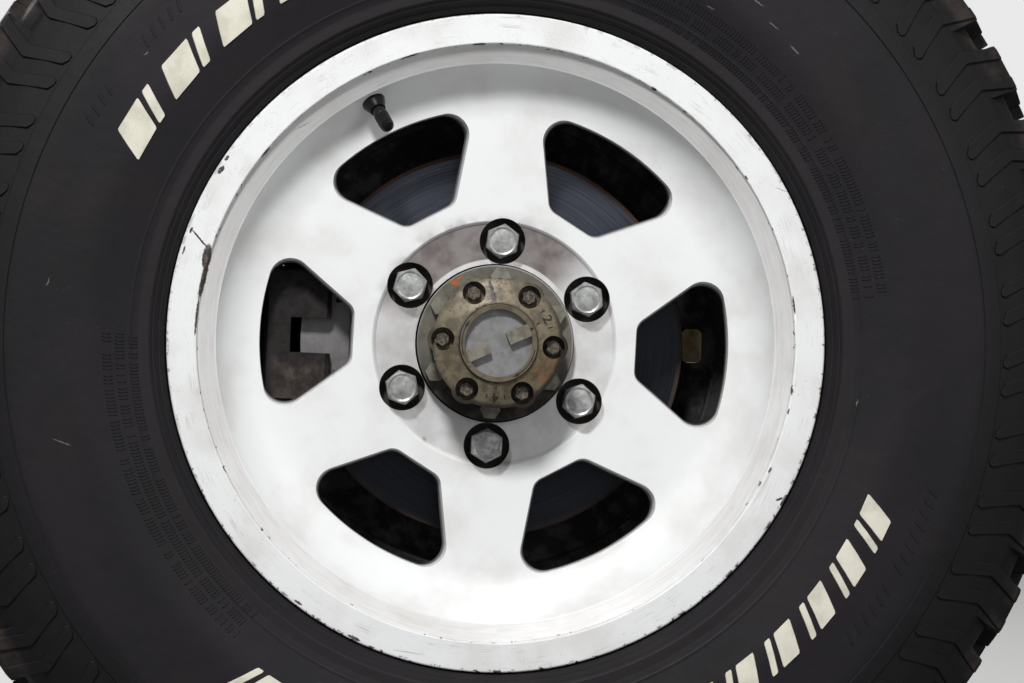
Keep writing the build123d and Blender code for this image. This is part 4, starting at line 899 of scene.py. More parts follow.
@dataclass(frozen=True)
class DialAlloy(Finish):
    """Dial of the locking hub: bronze rim inside a thin dark circle, grey floor, brownish bars."""

    name: str = "dial_alloy"
    rim: Colour = srgb(114, 104, 86)
    olive: Colour = srgb(90, 82, 66)
    floor: Colour = srgb(142, 142, 142)
    dull_floor: Colour = srgb(112, 110, 108)
    bar: Colour = srgb(140, 134, 124)
    dark: Colour = srgb(26, 22, 18)
    rim_inner: float = 22.5 * MM
    rim_outer: float = 26.3 * MM
    face: float = -184 * MM

    def make(self) -> bpy.types.Material:
        """Lay the rim's bronze and the dark circle round the grey floor."""
        alloy = Shader(self.name)
        radius, _ = alloy.polar()
        mottled = alloy.noise(150, 5.0).fade(0.4, 0.64)
        low = alloy.y.fade(self.face + 0.6 * MM, self.face + 1.4 * MM)
        floor = alloy.mix(mottled * 0.5, self.floor, self.dull_floor)
        colour = alloy.mix(low, alloy.mix(mottled * 0.6, self.bar, self.olive), floor)
        rim = radius.fade(self.rim_inner - 0.3 * MM, self.rim_inner + 0.3 * MM)
        colour = alloy.mix(rim, colour, alloy.mix(mottled, self.rim, self.olive))
        circle = radius.fade(self.rim_outer - 0.7 * MM, self.rim_outer - 0.3 * MM)
        colour = alloy.mix(circle * 0.9, colour, self.dark)
        pitted = alloy.noise(420, 5.0, 0.7).fade(0.56, 0.72)
        colour = alloy.mix(pitted * 0.4, colour, self.dark)
        grain = alloy.noise(1100, 4.0, 0.65)
        return alloy.finish(
            Base_Color=colour,
            Roughness=0.42 + 0.2 * pitted + 0.1 * (grain - 0.5),
            Metallic=0.35,
            Normal=alloy.bump(grain, 0.05 * MM),
        )


@dataclass(frozen=True)
class HousingAlloy(Finish):
    """Housing of the locking hub: greenish grey flange with a bright edge, darker towards the bottom, with
    painted shade under the cover.
    """

    name: str = "housing_alloy"
    alloy: Colour = srgb(126, 123, 112)
    olive: Colour = srgb(108, 106, 96)
    # Tone of the bright edge
    worn: Colour = srgb(196, 198, 192)
    # Darkening towards the bottom and painted shade under the cover
    dark: Colour = srgb(30, 25, 21)
    rust: Colour = srgb(196, 108, 48)
    rust_spot: tuple[Mark, ...] = (Mark(-27.6, 41.0, 7.0, 3.0, -20), Mark(-24.5, 44.0, 4.0, 1.6, 40))
    flange_face: float = -137 * MM
    edge_start: float = 51.8 * MM
    edge_end: float = 52.8 * MM
    # Angles clockwise from the top, in degrees
    bright_edge_at: float = 30
    darker_at: float = 180

    def make(self) -> bpy.types.Material:
        """Lay the darkening towards the bottom and the painted shade under the cover over the alloy."""
        housing = Shader(self.name)
        radius, angle = housing.polar()
        colour = housing.mix(housing.noise(140, 5.0).fade(0.4, 0.66), self.alloy, self.olive)
        # Bright edge, strongest towards the upper right
        edge = radius.fade(self.edge_start, self.edge_end) * housing.facing(angle, self.bright_edge_at)
        colour = housing.mix(edge * 0.8, colour, self.worn)
        # Darker towards the bottom, and painted shade on the body in front of the flange, under the cover
        below = housing.facing(angle, self.darker_at).fade(0.4, 0.85)
        under = housing.y.drop(self.flange_face - 3 * MM, self.flange_face - 0.5 * MM)
        dirt = (below * (0.8 + 0.2 * housing.noise(90, 5.0).fade(0.3, 0.55))).most(under * 0.9)
        colour = housing.mix(dirt, colour, self.dark)
        rusty = housing.marks(self.rust_spot, housing.ragged(500, 0.8 * MM), 0.4)
        colour = housing.mix(rusty, colour, self.rust)
        grain = housing.noise(900, 4.0)
        return housing.finish(
            Base_Color=colour,
            Roughness=0.42 + 0.3 * dirt,
            Metallic=0.6 * (1 - 0.8 * dirt),
            Normal=housing.bump(grain, 0.05 * MM),
        )


@dataclass(frozen=True)
class Plastic(Finish):
    """Moulded rubber or plastic with a little dust."""

    colour: Colour = srgb(26, 25, 25)
    dust: Colour = srgb(78, 72, 66)
    roughness: float = 0.4
    dust_share: float = 0.35

    def make(self) -> bpy.types.Material:
        """Lay dust over the moulded colour."""
        plastic = Shader(self.name)
        dust = plastic.noise(220, 5.0).fade(0.5, 0.75) * self.dust_share
        normal = plastic.bump(plastic.noise(1600, 3.0), 0.03 * MM)
        return plastic.finish(
            Base_Color=plastic.mix(dust, self.colour, self.dust),
            Roughness=self.roughness + 0.4 * dust,
            Normal=normal,
        )


ZINC = WornMetal(
    "nut_zinc", base=srgb(196, 198, 196), patch=srgb(158, 160, 158), grime=srgb(84, 80, 76),
    grime_share=0.25, rust_share=0.04, metallic=0.55, roughness=0.38, grain=1300.0, clouds=160.0,
)
STAINED_NUT = WornMetal(
    "stained_nut", base=srgb(140, 137, 125), patch=srgb(112, 108, 96), grime=srgb(84, 77, 66),
    rust=srgb(126, 88, 54), grime_share=0.25, metallic=0.4, roughness=0.48, grain=1300.0, clouds=120.0,
)
SCREW = WornMetal(
    "screw_steel", base=srgb(122, 112, 100), patch=srgb(88, 80, 70), grime=srgb(34, 28, 24),
    grime_share=0.4, rust_share=0.12, metallic=0.45, roughness=0.48, grain=1500.0, clouds=300.0,
)
MARK_GRIME = WornMetal(
    "mark_grime", base=srgb(58, 49, 38), patch=srgb(42, 36, 29), grime=srgb(22, 18, 15),
    grime_share=0.3, metallic=0.2, roughness=0.6, grain=1200.0, clouds=200.0,
)
HUB_IRON = WornMetal(
    "hub_iron", base=srgb(86, 80, 76), patch=srgb(64, 58, 54), grime=srgb(30, 27, 25),
    grime_share=0.5, rust_share=0.35, metallic=0.45, roughness=0.6, depth=0.12 * MM, clouds=60.0,
)
KNUCKLE_IRON = WornMetal(
    "knuckle_iron", base=srgb(74, 70, 68), patch=srgb(58, 54, 52), grime=srgb(34, 30, 27),
    rust=srgb(104, 66, 42), grime_share=0.55, rust_share=0.4, metallic=0.3, roughness=0.68,
    grain=420.0, depth=0.35 * MM, clouds=34.0,
)
CALIPER_IRON = CaliperIron(
    "caliper_iron", base=srgb(84, 71, 64), patch=srgb(60, 50, 45), grime=srgb(26, 22, 20),
    rust=srgb(112, 74, 52), grime_share=0.4, rust_share=0.4, metallic=0.3, roughness=0.66,
    grain=520.0, depth=0.25 * MM, clouds=60.0,
)
# Partly its own tan steel, made paler as painted light: the cream stands in for sunlight on the tie-rod eye
ARM_STEEL_PAINTED_LIGHT = WornMetal(
    "arm_steel", base=srgb(226, 212, 176), patch=srgb(178, 152, 108), grime=srgb(84, 68, 50),
    rust=srgb(120, 78, 46), grime_share=0.2, rust_share=0.12, metallic=0.1, roughness=0.6,
    grain=600.0, depth=0.2 * MM, clouds=60.0,
)
SHIELD_STEEL = WornMetal(
    "shield_steel", base=srgb(70, 70, 72), patch=srgb(54, 52, 52), grime=srgb(32, 29, 27),
    grime_share=0.5, rust_share=0.3, metallic=0.3, roughness=0.6, clouds=40.0,
)
PLATE_STEEL = WornMetal(
    "plate_steel", base=srgb(128, 126, 127), patch=srgb(112, 109, 109), grime=srgb(74, 69, 67),
    grime_share=0.2, rust_share=0.03, metallic=0.3, roughness=0.5, clouds=40.0,
)
GROUND_STEEL = WornMetal(
    "ground_steel", base=srgb(150, 150, 150), patch=srgb(126, 124, 120), grime=srgb(50, 44, 40),
    grime_share=0.3, rust_share=0.1, metallic=0.9, roughness=0.32, grain=1600.0, clouds=120.0,
)
LINING = Plastic("pad_lining", colour=srgb(50, 46, 44), dust=srgb(86, 78, 72), roughness=0.85)
BLACK_RUBBER = Plastic("black_rubber", colour=srgb(24, 23, 23), roughness=0.5)
VALVE_RUBBER = Plastic(
    "valve_rubber", colour=srgb(8, 7, 8), dust=srgb(44, 41, 41), roughness=0.26, dust_share=0.12
)
CAP_PLASTIC = Plastic(
    "cap_plastic", colour=srgb(9, 8, 8), dust=srgb(44, 41, 41), roughness=0.2, dust_share=0.08
)


class Draft:
    """Points and faces of one joined mesh while it is being made."""

    def __init__(self) -> None:
        """Start with nothing."""
        self.points: list[Vector] = []
        self.faces: list[tuple[int, ...]] = []

    def add(self, points: Sequence[Vector], faces: Sequence[Sequence[int]]) -> None:
        """Add points and the faces between them.

        Args:
            points: New points.
            faces: Faces, as indices into the new points.
        """
        start = len(self.points)
        self.points.extend(points)
        self.faces.extend(tuple(start + index for index in face) for face in faces)

    def loft(self, rows: Sequence[Sequence[Vector]], closed: bool = False) -> None:
        """Join rings of points, each a closed loop.

        Args:
            rows: Rings with as many points each.
            closed: Whether the last ring joins the first; otherwise both ends are capped.
        """
        count = len(rows[0])
        points = [point for row in rows for point in row]
        spans = range(len(rows) if closed else len(rows) - 1)
        faces: list[Sequence[int]] = []
        for row in spans:
            here = row * count
            there = (row + 1) % len(rows) * count
            for index in range(count):
                after = (index + 1) % count
                faces.append((here + index, here + after, there + after, there + index))
        if not closed:
            faces.append(range(count))
            faces.append(range(len(points) - count, len(points)))
        self.add(points, faces)

    def piece(
        self,
        name: str,
        finish: Finish,
        slot: Slot,
        body: Body,
        replaces: Sequence[str] = (),
        smooth: bool = True,
    ) -> bpy.types.Object:
        """Turn the draft into a piece of the part.

        Args:
            name: Name of the piece.
            finish: Its finish.
            slot: Material slot of the record.
            body: Body it rides on.
            replaces: CAD nodes it stands for.
            smooth: Whether edges flatter than SMOOTH_ANGLE are shaded smooth.

        Returns:
            The object.
        """
        mesh = bpy.data.meshes.new(name)
        mesh.from_pydata(self.points, [], self.faces)
        work = bmesh.new()
        work.from_mesh(mesh)
        bmesh.ops.recalc_face_normals(work, faces=work.faces)
        work.to_mesh(mesh)
        work.free()
        if smooth:
            mesh.shade_smooth()
            mesh.set_sharp_from_angle(angle=SMOOTH_ANGLE)
        return add_piece(name, mesh, finish, slot, body, replaces)


def add_piece(
    name: str,
    mesh: bpy.types.Mesh,
    finish: Finish,
    slot: Slot,
    body: Body,
    replaces: Sequence[str] = (),
) -> bpy.types.Object:
    """Put a mesh into the scene as a piece of the part.

    Args:
        name: Name of the piece.
        mesh: Its mesh, in the row frame.
        finish: Its finish.
        slot: Material slot of the record; not used.
        body: Body it rides on.
        replaces: CAD nodes it stands for.

    Returns:
        The object.
    """
    mesh.materials.clear()
    mesh.materials.append(material_of(finish))
    made = bpy.data.objects.new(name, mesh)
    bpy.context.scene.collection.objects.link(made)
    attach(made, body.value)
    if replaces:
        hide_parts(*replaces)
    mesh.calc_loop_triangles()
    LOG.info("%s: %d triangles", name, len(mesh.loop_triangles))
    return made


@dataclass(frozen=True)
class Corner:
    """Corner of the tyre's section: radius, distance from the centre plane, and rounding."""

    radius: float
    offset: float
    rounding: float = 0.0


class Section:
    """Line through rounded corners, measured by its length from its first corner."""

    def __init__(self, corners: Sequence[Corner], step: float = 4 * MM, turn: float = 6.0) -> None:
        """Round the corners and measure the line.

        Args:
            corners: Corners from start to end.
            step: Longest straight piece.
            turn: Largest turn between two points on an arc, in degrees.
        """
        places = [Vector((corner.radius, corner.offset)) for corner in corners]
        line = [places[0]]
        for before, corner, here, after in zip(places, corners[1:], places[1:], places[2:]):
            back = (before - here).normalized()
            ahead = (after - here).normalized()
            bend = math.pi - back.angle(ahead)
            reach = corner.rounding * math.tan(bend / 2)
            count = max(1, round(math.degrees(bend) / turn)) if reach else 0
            start, end = here + back * reach, here + ahead * reach
            for index in range(count + 1):
                share = index / count if count else 0.0
                line.append(start.lerp(here, share).lerp(here.lerp(end, share), share))
        line.append(places[-1])
        points = [line[0]]
        for start, end in zip(line, line[1:]):
            pieces = max(1, math.ceil((end - start).length / step))
            points += [start.lerp(end, (index + 1) / pieces) for index in range(pieces)]
        self.points = [points[0]]
        for point in points[1:]:
            if (point - self.points[-1]).length > 0.001 * MM:
                self.points.append(point)
        gaps = [(b - a).length for a, b in zip(self.points, self.points[1:])]
        self.distances = np.concatenate(([0.0], np.cumsum(gaps)))
        self.radii = np.array([point.x for point in self.points])
        self.offsets = np.array([point.y for point in self.points])

    def at(self, distance: float) -> tuple[Vector, Vector]:
        """Point and outward direction at a distance along the line."""
        here = self.point(distance)
        ahead = self.point(distance + 0.5 * MM) - self.point(distance - 0.5 * MM)
        return here, Vector((ahead.y, -ahead.x)).normalized()

    def point(self, distance: float) -> Vector:
        """Point at a distance along the line."""
        return Vector((
            float(np.interp(distance, self.distances, self.radii)),
            float(np.interp(distance, self.distances, self.offsets)),
        ))

    def at_radius(self, radius: float) -> float:
        """Distance along the line where it comes down to a radius."""
        return float(np.interp(-radius, -self.radii, self.distances))

    def at_offset(self, offset: float) -> float:
        """Distance along the line where the crown reaches an offset."""
        reach = int(np.argmax(self.offsets))
        return float(np.interp(offset, self.offsets[:reach], self.distances[:reach]))


@dataclass(frozen=True)
class Station:
    """Cross-section of a raised bar: distance along the skin, middle angle, width and rise."""

    distance: float
    angle: float
    width: float
    rise: float = 0.0


@dataclass(frozen=True)
class MarkRow:
    """Row of slanted marks on the sidewall: angles in degrees, sizes in metres."""

    first: float
    pitch: float
    count: int
    widths: tuple[float, ...]
    low: float
    high: float
    slant: float
    rise: float


@dataclass
class Tyre:
    """Tyre over the plain CAD one: carcass, shoulder blocks and bars, tread, raised marks."""

    crown_half: float = 12 * MM
    crown_step_half: float = 62 * MM
    crown_drop: float = 3.5 * MM
    crown_round: float = 60 * MM
    tread_half: float = 99 * MM
    shoulder_drop: float = 11 * MM
    shoulder_round: float = 5 * MM
    taper: float = 6.5 * MM
    protector_rise: float = 10.7 * MM
    protector_width: float = 7 * MM
    protector_inset: float = 8.5 * MM
    # Shares of the sidewall's height
    shoulder_foot: float = 0.76
    widest_high: float = 0.573
    widest_low: float = 0.26
    flange_gap: float = 0.3 * MM
    heel_inset: float = 12.4 * MM
    seat_drop: float = 17.2 * MM
    bead_drop: float = 1.5 * MM
    bead_width: float = 16.5 * MM
    groove_depth: float = 9.5 * MM
    groove_inset: float = 7 * MM
    rooting: float = 1 * MM
    notch_radius: float = 371 * MM
    wall: float = 13 * MM
    # Columns, in millimetres: inner radius, outer radius, rise
    ridges: tuple[tuple[float, float, float], ...] = (
        (325.0, 336.0, 0.9), (243.0, 243.8, 0.25), (227.4, 228.8, 0.5), (223.6, 225.0, 0.5),
    )
    ridge_edge: float = 0.3 * MM
    segments: int = 240
    pitches: int = 45
    first_pair: float = 52.0
    pair_spread: float = 3.2
    lug_width: float = 34 * MM
    lug_inner: float = 60 * MM
    lug_lean: float = 1.6
    lug_sink: float = 0.1 * MM
    lug_shift: float = -0.5
    sipe_offset: float = 88 * MM
    sipe_width: float = 0.8 * MM
    bar_width: float = 9.5 * MM
    bar_start: float = 338 * MM
    bar_bend: float = 366 * MM
    bar_shift: float = -1.4
    bar_rise: float = 1.7 * MM
    bar_root: float = 3 * MM
    bar_chamfer: float = 0.6 * MM
    core_depth: float = 40 * MM
    chamfer: float = 0.8 * MM
    corner_pull: float = 1.3
    mark_gap: float = 4.5 * MM
    mark_round: float = 1.2 * MM
    mark_chamfer: float = 0.35 * MM
    stagger: float = 4.0
    seed: int = 7

    def __post_init__(self) -> None:
        """Take the overall sizes from the frame and lay out the sections."""
        low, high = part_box("tyre")
        self.radius = high.z
        self.half = (high.y - low.y) / 2
        self.plane = (high.y + low.y) / 2
        rim_low, rim_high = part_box("wheel_rim")
        self.flange = rim_high.z
        self.lip = (rim_high.y - rim_low.y) / 2
        self.protector = self.flange + self.protector_rise
        self.shoulder = self.radius - self.shoulder_drop
        crown = [
            Corner(self.radius, 0.0),
            Corner(self.radius, self.crown_half, self.crown_round),
            Corner(self.radius - self.crown_drop, self.crown_step_half, self.crown_round),
            Corner(self.shoulder, self.tread_half, self.shoulder_round),
        ]
        self.skin = Section([*crown, *self.sidewall()])
        notch = self.skin.point(self.skin.at_radius(self.notch_radius))
        floor = [
            Corner(corner.radius - self.groove_depth, corner.offset, corner.rounding)
            for corner in crown[:3]
        ]
        inset = self.tread_half - self.groove_inset
        floor.append(Corner(self.shoulder - self.groove_depth, inset, 14 * MM))
        floor.append(Corner(notch.x, notch.y, 10 * MM))
        self.floor = Section([*floor, *self.sidewall()])

    def height(self, share: float) -> float:
        """Radius at a share of the sidewall's height, from the protector to the shoulder."""
        return self.protector + share * (self.shoulder - self.protector)

    def sidewall(self) -> list[Corner]:
        """Corners from below the shoulder to the toe of the bead."""
        protector_offset = self.half - self.protector_inset
        heel = self.lip - self.heel_inset
        seat = self.flange - self.seat_drop
        return [
            Corner(self.height(self.shoulder_foot), self.half - self.taper, 40 * MM),
            Corner(self.height(self.widest_high), self.half, 40 * MM),
            Corner(self.height(self.widest_low), self.half, 60 * MM),
            Corner(self.protector + self.protector_width, protector_offset + self.flange_gap, 3 * MM),
            Corner(self.protector, protector_offset, 1.5 * MM),
            Corner(self.flange + 4 * self.flange_gap, self.lip, 2 * MM),
            Corner(self.flange + self.flange_gap, heel, 9 * MM),
            Corner(seat, heel, 3 * MM),
            Corner(seat - self.bead_drop, heel - self.bead_width),
        ]

    def place(self, radius: float, offset: float, angle: float, side: Side) -> Vector:
        """Point of the tyre; the inboard side is the outboard one turned about a spoke.

        Args:
            radius: Distance from the spin axis.
            offset: Distance from the centre plane.
            angle: Degrees clockwise from the top.
            side: Side of the tyre.

        Returns:
            The point in the row frame.
        """
        turned = angle if side is Side.OUTBOARD else self.stagger - angle
        return spot(radius, turned, self.plane - side.value * offset)

    def bar(
        self, draft: Draft, stations: Sequence[Station], side: Side, depth: float, chamfer: float
    ) -> None:
        """Add one raised bar that follows the skin.

        Args:
            draft: Mesh it is added to.
            stations: Cross-sections from end to end.
            side: Side of the tyre.
            depth: How far it is rooted below the skin.
            chamfer: Width of the chamfer of its edges.
        """
        core = Vector((self.notch_radius - self.core_depth, self.crown_step_half))
        rows = []
        for station in stations:
            skin, out = self.skin.at(station.distance)
            root = skin + (core - skin).normalized() * depth
            top = skin + out * station.rise
            edge = top - out * chamfer
            half = station.width / 2
            row = []
            for point, across in (
                (root, -half), (edge, -half), (top, chamfer - half),
                (top, half - chamfer), (edge, half), (root, half),
            ):
                angle = station.angle + math.degrees(across / point.x)
                row.append(self.place(point.x, point.y, angle, side))
            rows.append(row)
        draft.loft(rows)

    def block(self, draft: Draft, outline: Sequence[tuple[float, float]], angle: float, side: Side) -> None:
        """Add one tread block.

        Args:
            draft: Mesh it is added to.
            outline: Corners (offset, distance round the crown) in millimetres.
            angle: Angle of the block's origin.
            side: Side of the tyre.
        """
        corners = [Vector(corner) * MM for corner in outline]
        middle = sum(corners, Vector((0.0, 0.0))) / len(corners)
        rows = []
        levels = ((self.groove_depth + self.rooting, 0.0), (self.chamfer, 0.0), (0.0, self.chamfer))
        for sink, inset in levels:
            row = []
            for corner in corners:
                moved = corner + (middle - corner).normalized() * inset * self.corner_pull
                radius = self.skin.point(self.skin.at_offset(abs(moved.x))).x - sink
                turned = angle + math.degrees(moved.y / self.radius)
                row.append(self.place(radius, moved.x, turned, side))
            rows.append(row)
        draft.loft(rows)

    def carcass(self) -> None:
        """Closed carcass with the raised band and the fine ridges by the rim."""
        edge = self.ridge_edge
        stops = [(0.0, 0.0)]
        for low, high, rise in self.ridges:
            near = self.floor.at_radius(high * MM)
            far = self.floor.at_radius(low * MM)
            stops += [(near - edge, 0.0), (near + edge, rise * MM)]
            stops += [(far - edge, rise * MM), (far + edge, 0.0)]
        stops.append((float(self.floor.distances[-1]), 0.0))
        where, rises = zip(*stops)
        distances = sorted({*where, *(float(distance) for distance in self.floor.distances)})
        outer = []
        for distance in distances:
            point, out = self.floor.at(distance)
            outer.append(point + out * float(np.interp(distance, where, rises)))
        toe = outer[-1].y - 1 * MM
        liner = Section([
            Corner(outer[-1].x, toe),
            Corner(self.protector - 10 * MM, toe, 8 * MM),
            Corner(self.height(self.widest_low), self.half - self.wall, 40 * MM),
            Corner(self.height(self.widest_high), self.half - self.wall, 40 * MM),
            Corner(self.shoulder - 2 * self.wall, self.tread_half - self.wall, 20 * MM),
            Corner(self.radius - self.wall, self.crown_step_half, 20 * MM),
            Corner(self.radius - self.wall, 0.0),
        ], step=12 * MM)
        half = outer + liner.points
        loop = half + [Vector((point.x, -point.y)) for point in reversed(half[1:-1])]
        rows = [
            [self.place(point.x, point.y, 360 * index / self.segments, Side.OUTBOARD) for point in loop]
            for index in range(self.segments)
        ]
        draft = Draft()
        draft.loft(rows, closed=True)
        draft.piece("tyre_carcass", TyreRubber(), Slot.TYRE, Body.WHEEL, ["tyre"])

    def shoulder_blocks(self) -> None:
        """Shoulder blocks that run from the sidewall over the shoulder, split by a sipe on the crown."""
        draft = Draft()
        face = self.skin.at_radius(self.notch_radius - 1 * MM)
        edge = self.skin.at_offset(self.tread_half - 1 * MM)
        inner = self.skin.at_offset(self.lug_inner)
        sipe = self.skin.at_offset(self.sipe_offset)
        depth = self.groove_depth + self.rooting
        quarter = math.degrees(self.lug_width / 4 / self.radius)
        for side in Side:
            for index in range(self.pitches):
                middle = self.first_pair + self.pair_spread / 2 + 360 * index / self.pitches
                lug = [
                    Station(sipe + (edge - sipe) * share, middle, self.lug_width)
                    for share in (0.0, 0.35, 0.7, 0.9, 1.0)
                ]
                lug += [
                    Station(edge + (face - edge) * share, middle + self.lug_shift * share,
                            self.lug_width, -self.lug_sink)
                    for share in (0.12, 0.4, 0.7, 1.0)
                ]
                self.bar(draft, lug, side, depth, self.chamfer)
                for way in (-1, 1):
                    half = [
                        Station(inner + (sipe - inner) * share,
                                middle + way * quarter + self.lug_lean * (1 - share) ** 2,
                                self.lug_width / 2 - self.sipe_width)
                        for share in (0.0, 0.33, 0.66, 0.99)
                    ]
                    self.bar(draft, half, side, depth, self.chamfer)
        draft.piece("tyre_shoulder_blocks", TyreRubber(), Slot.TYRE, Body.WHEEL)

    def shoulder_bars(self) -> None:
        """Pairs of raised chevron bars on the upper sidewall."""
        draft = Draft()
        at = self.skin.at_radius
        # Columns: distance along the skin, angle from the bar's own, narrowing, lowering
        stations = (
            (at(self.bar_start), 0.35, 5.5 * MM, 0.5 * MM),
            (at(self.bar_start + 2.4 * MM), 0.1, 0.0, 0.0),
            (at(self.bar_bend - 1 * MM), self.bar_shift, 0.0, 0.0),
            (at(self.bar_bend + 1 * MM), self.bar_shift, 0.0, 0.0),
            (at(self.shoulder - 3 * MM), -0.15, 0.6 * MM, 0.0),
            (self.skin.at_offset(self.tread_half - 2 * MM), 0.0, 1 * MM, 1.4 * MM),
        )
        for side in Side:
            for index in range(2 * self.pitches):
                pair, second = divmod(index, 2)
                angle = self.first_pair + 360 * pair / self.pitches + second * self.pair_spread
                bar = [
                    Station(distance, angle + turn, self.bar_width - narrow, self.bar_rise - lower)
                    for distance, turn, narrow, lower in stations
                ]
                self.bar(draft, bar, side, self.bar_root, self.bar_chamfer)
        draft.piece("tyre_shoulder_bars", TyreRubber(), Slot.TYRE, Body.WHEEL)

    def tread(self) -> None:
        """Rows of interlocking blocks on the crown, each split by a sipe."""
        # Corners (offset, distance round the crown) in millimetres of the halves beside a block's sipe
        middle_halves = [
            [(-17, 1), (0, -3), (17, 4), (17, 13), (0, 6.5), (-17, 10.5)],
            [(-17, 11.7), (0, 7.7), (17, 14.2), (17, 22), (0, 17.5), (-17, 20)],
        ]
        side_halves = [
            [(24, 0), (39, -5), (53, 2), (53, 10.5), (39, 4), (24, 9)],
            [(24, 10.2), (39, 5.2), (53, 11.7), (53, 20.5), (39, 14), (24, 19)],
        ]
        pitch = 360 / self.pitches
        draft = Draft()
        for index in range(2 * self.pitches):
            angle = self.first_pair + index * pitch / 2
            for half in middle_halves:
                self.block(draft, half, angle, Side.OUTBOARD)
            for side in Side:
                for half in side_halves:
                    self.block(draft, half, angle, side)
        draft.piece("tyre_tread_blocks", TyreRubber(), Slot.TYRE, Body.WHEEL)

    def marks(self, name: str, finish: Finish, rows: Sequence[MarkRow], keep: float = 1.0) -> None:
        """Rows of slanted raised marks on the outboard sidewall.

        Args:
            name: Name of the piece.
            finish: Finish of the marks.
            rows: The rows.
            keep: Share of the marks that are there; the rest are left out at random.
        """
        draft = Draft()
        draw = random.Random(self.seed)
        for row in rows:
            outer, inner = self.skin.at_radius(row.high), self.skin.at_radius(row.low)
            rounding = min(self.mark_round, (inner - outer) / 5)
            shares = [0.0, rounding / (inner - outer)]
            shares += [0.5, 1 - shares[1], 1.0]
            total = sum(row.widths) + self.mark_gap * (len(row.widths) - 1)
            for index in range(row.count):
                start = -total / 2
                for width in row.widths:
                    middle = (start + width / 2) / row.high
                    start += width + self.mark_gap
                    if draw.random() > keep:
                        continue
                    angle = row.first + row.pitch * index + math.degrees(middle)
                    stations = [
                        Station(outer + (inner - outer) * share, angle + row.slant * (0.5 - share),
                                width - (rounding if share in (0.0, 1.0) else 0.0), row.rise)
                        for share in shares
                    ]
                    chamfer = min(self.mark_chamfer, width / 5)
                    self.bar(draft, stations, Side.OUTBOARD, self.rooting, chamfer)
        draft.piece(name, finish, Slot.TYRE, Body.WHEEL)

    def build(self) -> None:
        """Make every piece of the tyre."""
        self.carcass()
        self.shoulder_blocks()
        self.shoulder_bars()
        self.tread()
        large, small = (25 * MM, 7 * MM), (15 * MM, 5 * MM)
        self.marks("tyre_cream_marks", CreamRubber(), [
            MarkRow(first, pitch, count, widths, low=266 * MM, high=287 * MM, slant=2.2, rise=0.9 * MM)
            for first, pitch, count, widths in (
                (-58.3, 10.1, 8, large), (115.8, 7.1, 6, small), (201.0, 7.1, 3, small),
            )
        ])
        ticks = [
            MarkRow(first, 0.52, count, (1.1 * MM,), low=low * MM, high=(low + 5.5) * MM, slant=0.15,
                    rise=0.4 * MM)
            for first, count in ((22.0, 118), (-138.0, 96))
            for low in (238.5, 247.0, 255.5)
        ]
        ticks += [
            MarkRow(first, 1.5, count, (2.2 * MM,), low=302 * MM, high=310 * MM, slant=0.7,
                    rise=0.5 * MM)
            for first, count in ((-63.0, 15), (109.0, 15), (190.0, 12))
        ]
        self.marks("tyre_fine_relief", TyreRubber(), ticks, 0.82)


@dataclass
class WheelNuts:
    """Six closed nuts with a turned crown, each at its own turn."""

    circle: float = 69.85 * MM
    first: float = 4.5
    across_flats: float = 21 * MM
    seat_depth: float = 4.5 * MM
    seat_small: float = 7.0 * MM
    seat_large: float = 10.0 * MM
    crown_depth: float = 4.0 * MM
    crown_shares: tuple[float, ...] = (1.0, 0.8, 0.6, 0.45, 0.3, 0.15, 0.05)
    crown_room: float = 1.1 * MM
    crown_slope: float = 0.8
    flat_radius: float = 8.1 * MM
    groove_depth: float = 0.81 * MM
    # Columns: radius, depth below the top
    dome: tuple[tuple[float, float], ...] = (
        (5.5 * MM, 0.495 * MM), (2.5 * MM, 0.135 * MM), (0.4 * MM, 0.0),
    )
    turns: tuple[float, ...] = (8.0, -6.0, 12.0, 3.0, -10.0, 16.0)
    samples: int = 72

    def build(self) -> None:
        """Make the nuts in place of the plain ones."""
        low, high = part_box("wheel_nuts")
        top = low.y
        seat = high.y - self.seat_depth
        # Columns: station, radius, or None for the hexagon
        levels = [(high.y, self.seat_small), (seat, self.seat_large), (seat, None)]
        levels += [(top + self.crown_depth * share, None) for share in self.crown_shares]
        levels.append((top + self.groove_depth, self.flat_radius))
        levels += [(top + sink, radius) for radius, sink in self.dome]
        draft = Draft()
        for index, turn in enumerate(self.turns):
            middle = spot(self.circle, self.first + 360 * index / len(self.turns), 0.0)
            draft.loft([self.ring(middle, y, top, turn, radius) for y, radius in levels])
        draft.piece("wheel_nut_caps", ZINC, Slot.NUTS, Body.WHEEL, ["wheel_nuts"])

    def ring(self, middle: Vector, y: float, top: float, turn: float, fixed: float | None) -> list[Vector]:
        """Outline of a nut at one station.

        Args:
            middle: Middle of the nut.
            y: Station of the outline.
            top: Station of the nut's top.
            turn: Turn of its flats in degrees.
            fixed: Radius of a round outline, or None for the hexagon.

        Returns:
            The points.
        """
        points = []
        limit = self.flat_radius + self.crown_room + (y - top) * self.crown_slope
        for index in range(self.samples):
            angle = 360 * index / self.samples
            flat = self.across_flats / 2 / math.cos(math.radians((angle % 60) - 30))
            radius = fixed if fixed is not None else min(flat, limit)
            offset = spot(radius, angle + turn, 0.0)
            points.append(Vector((middle.x + offset.x, y, middle.z + offset.z)))
        return points


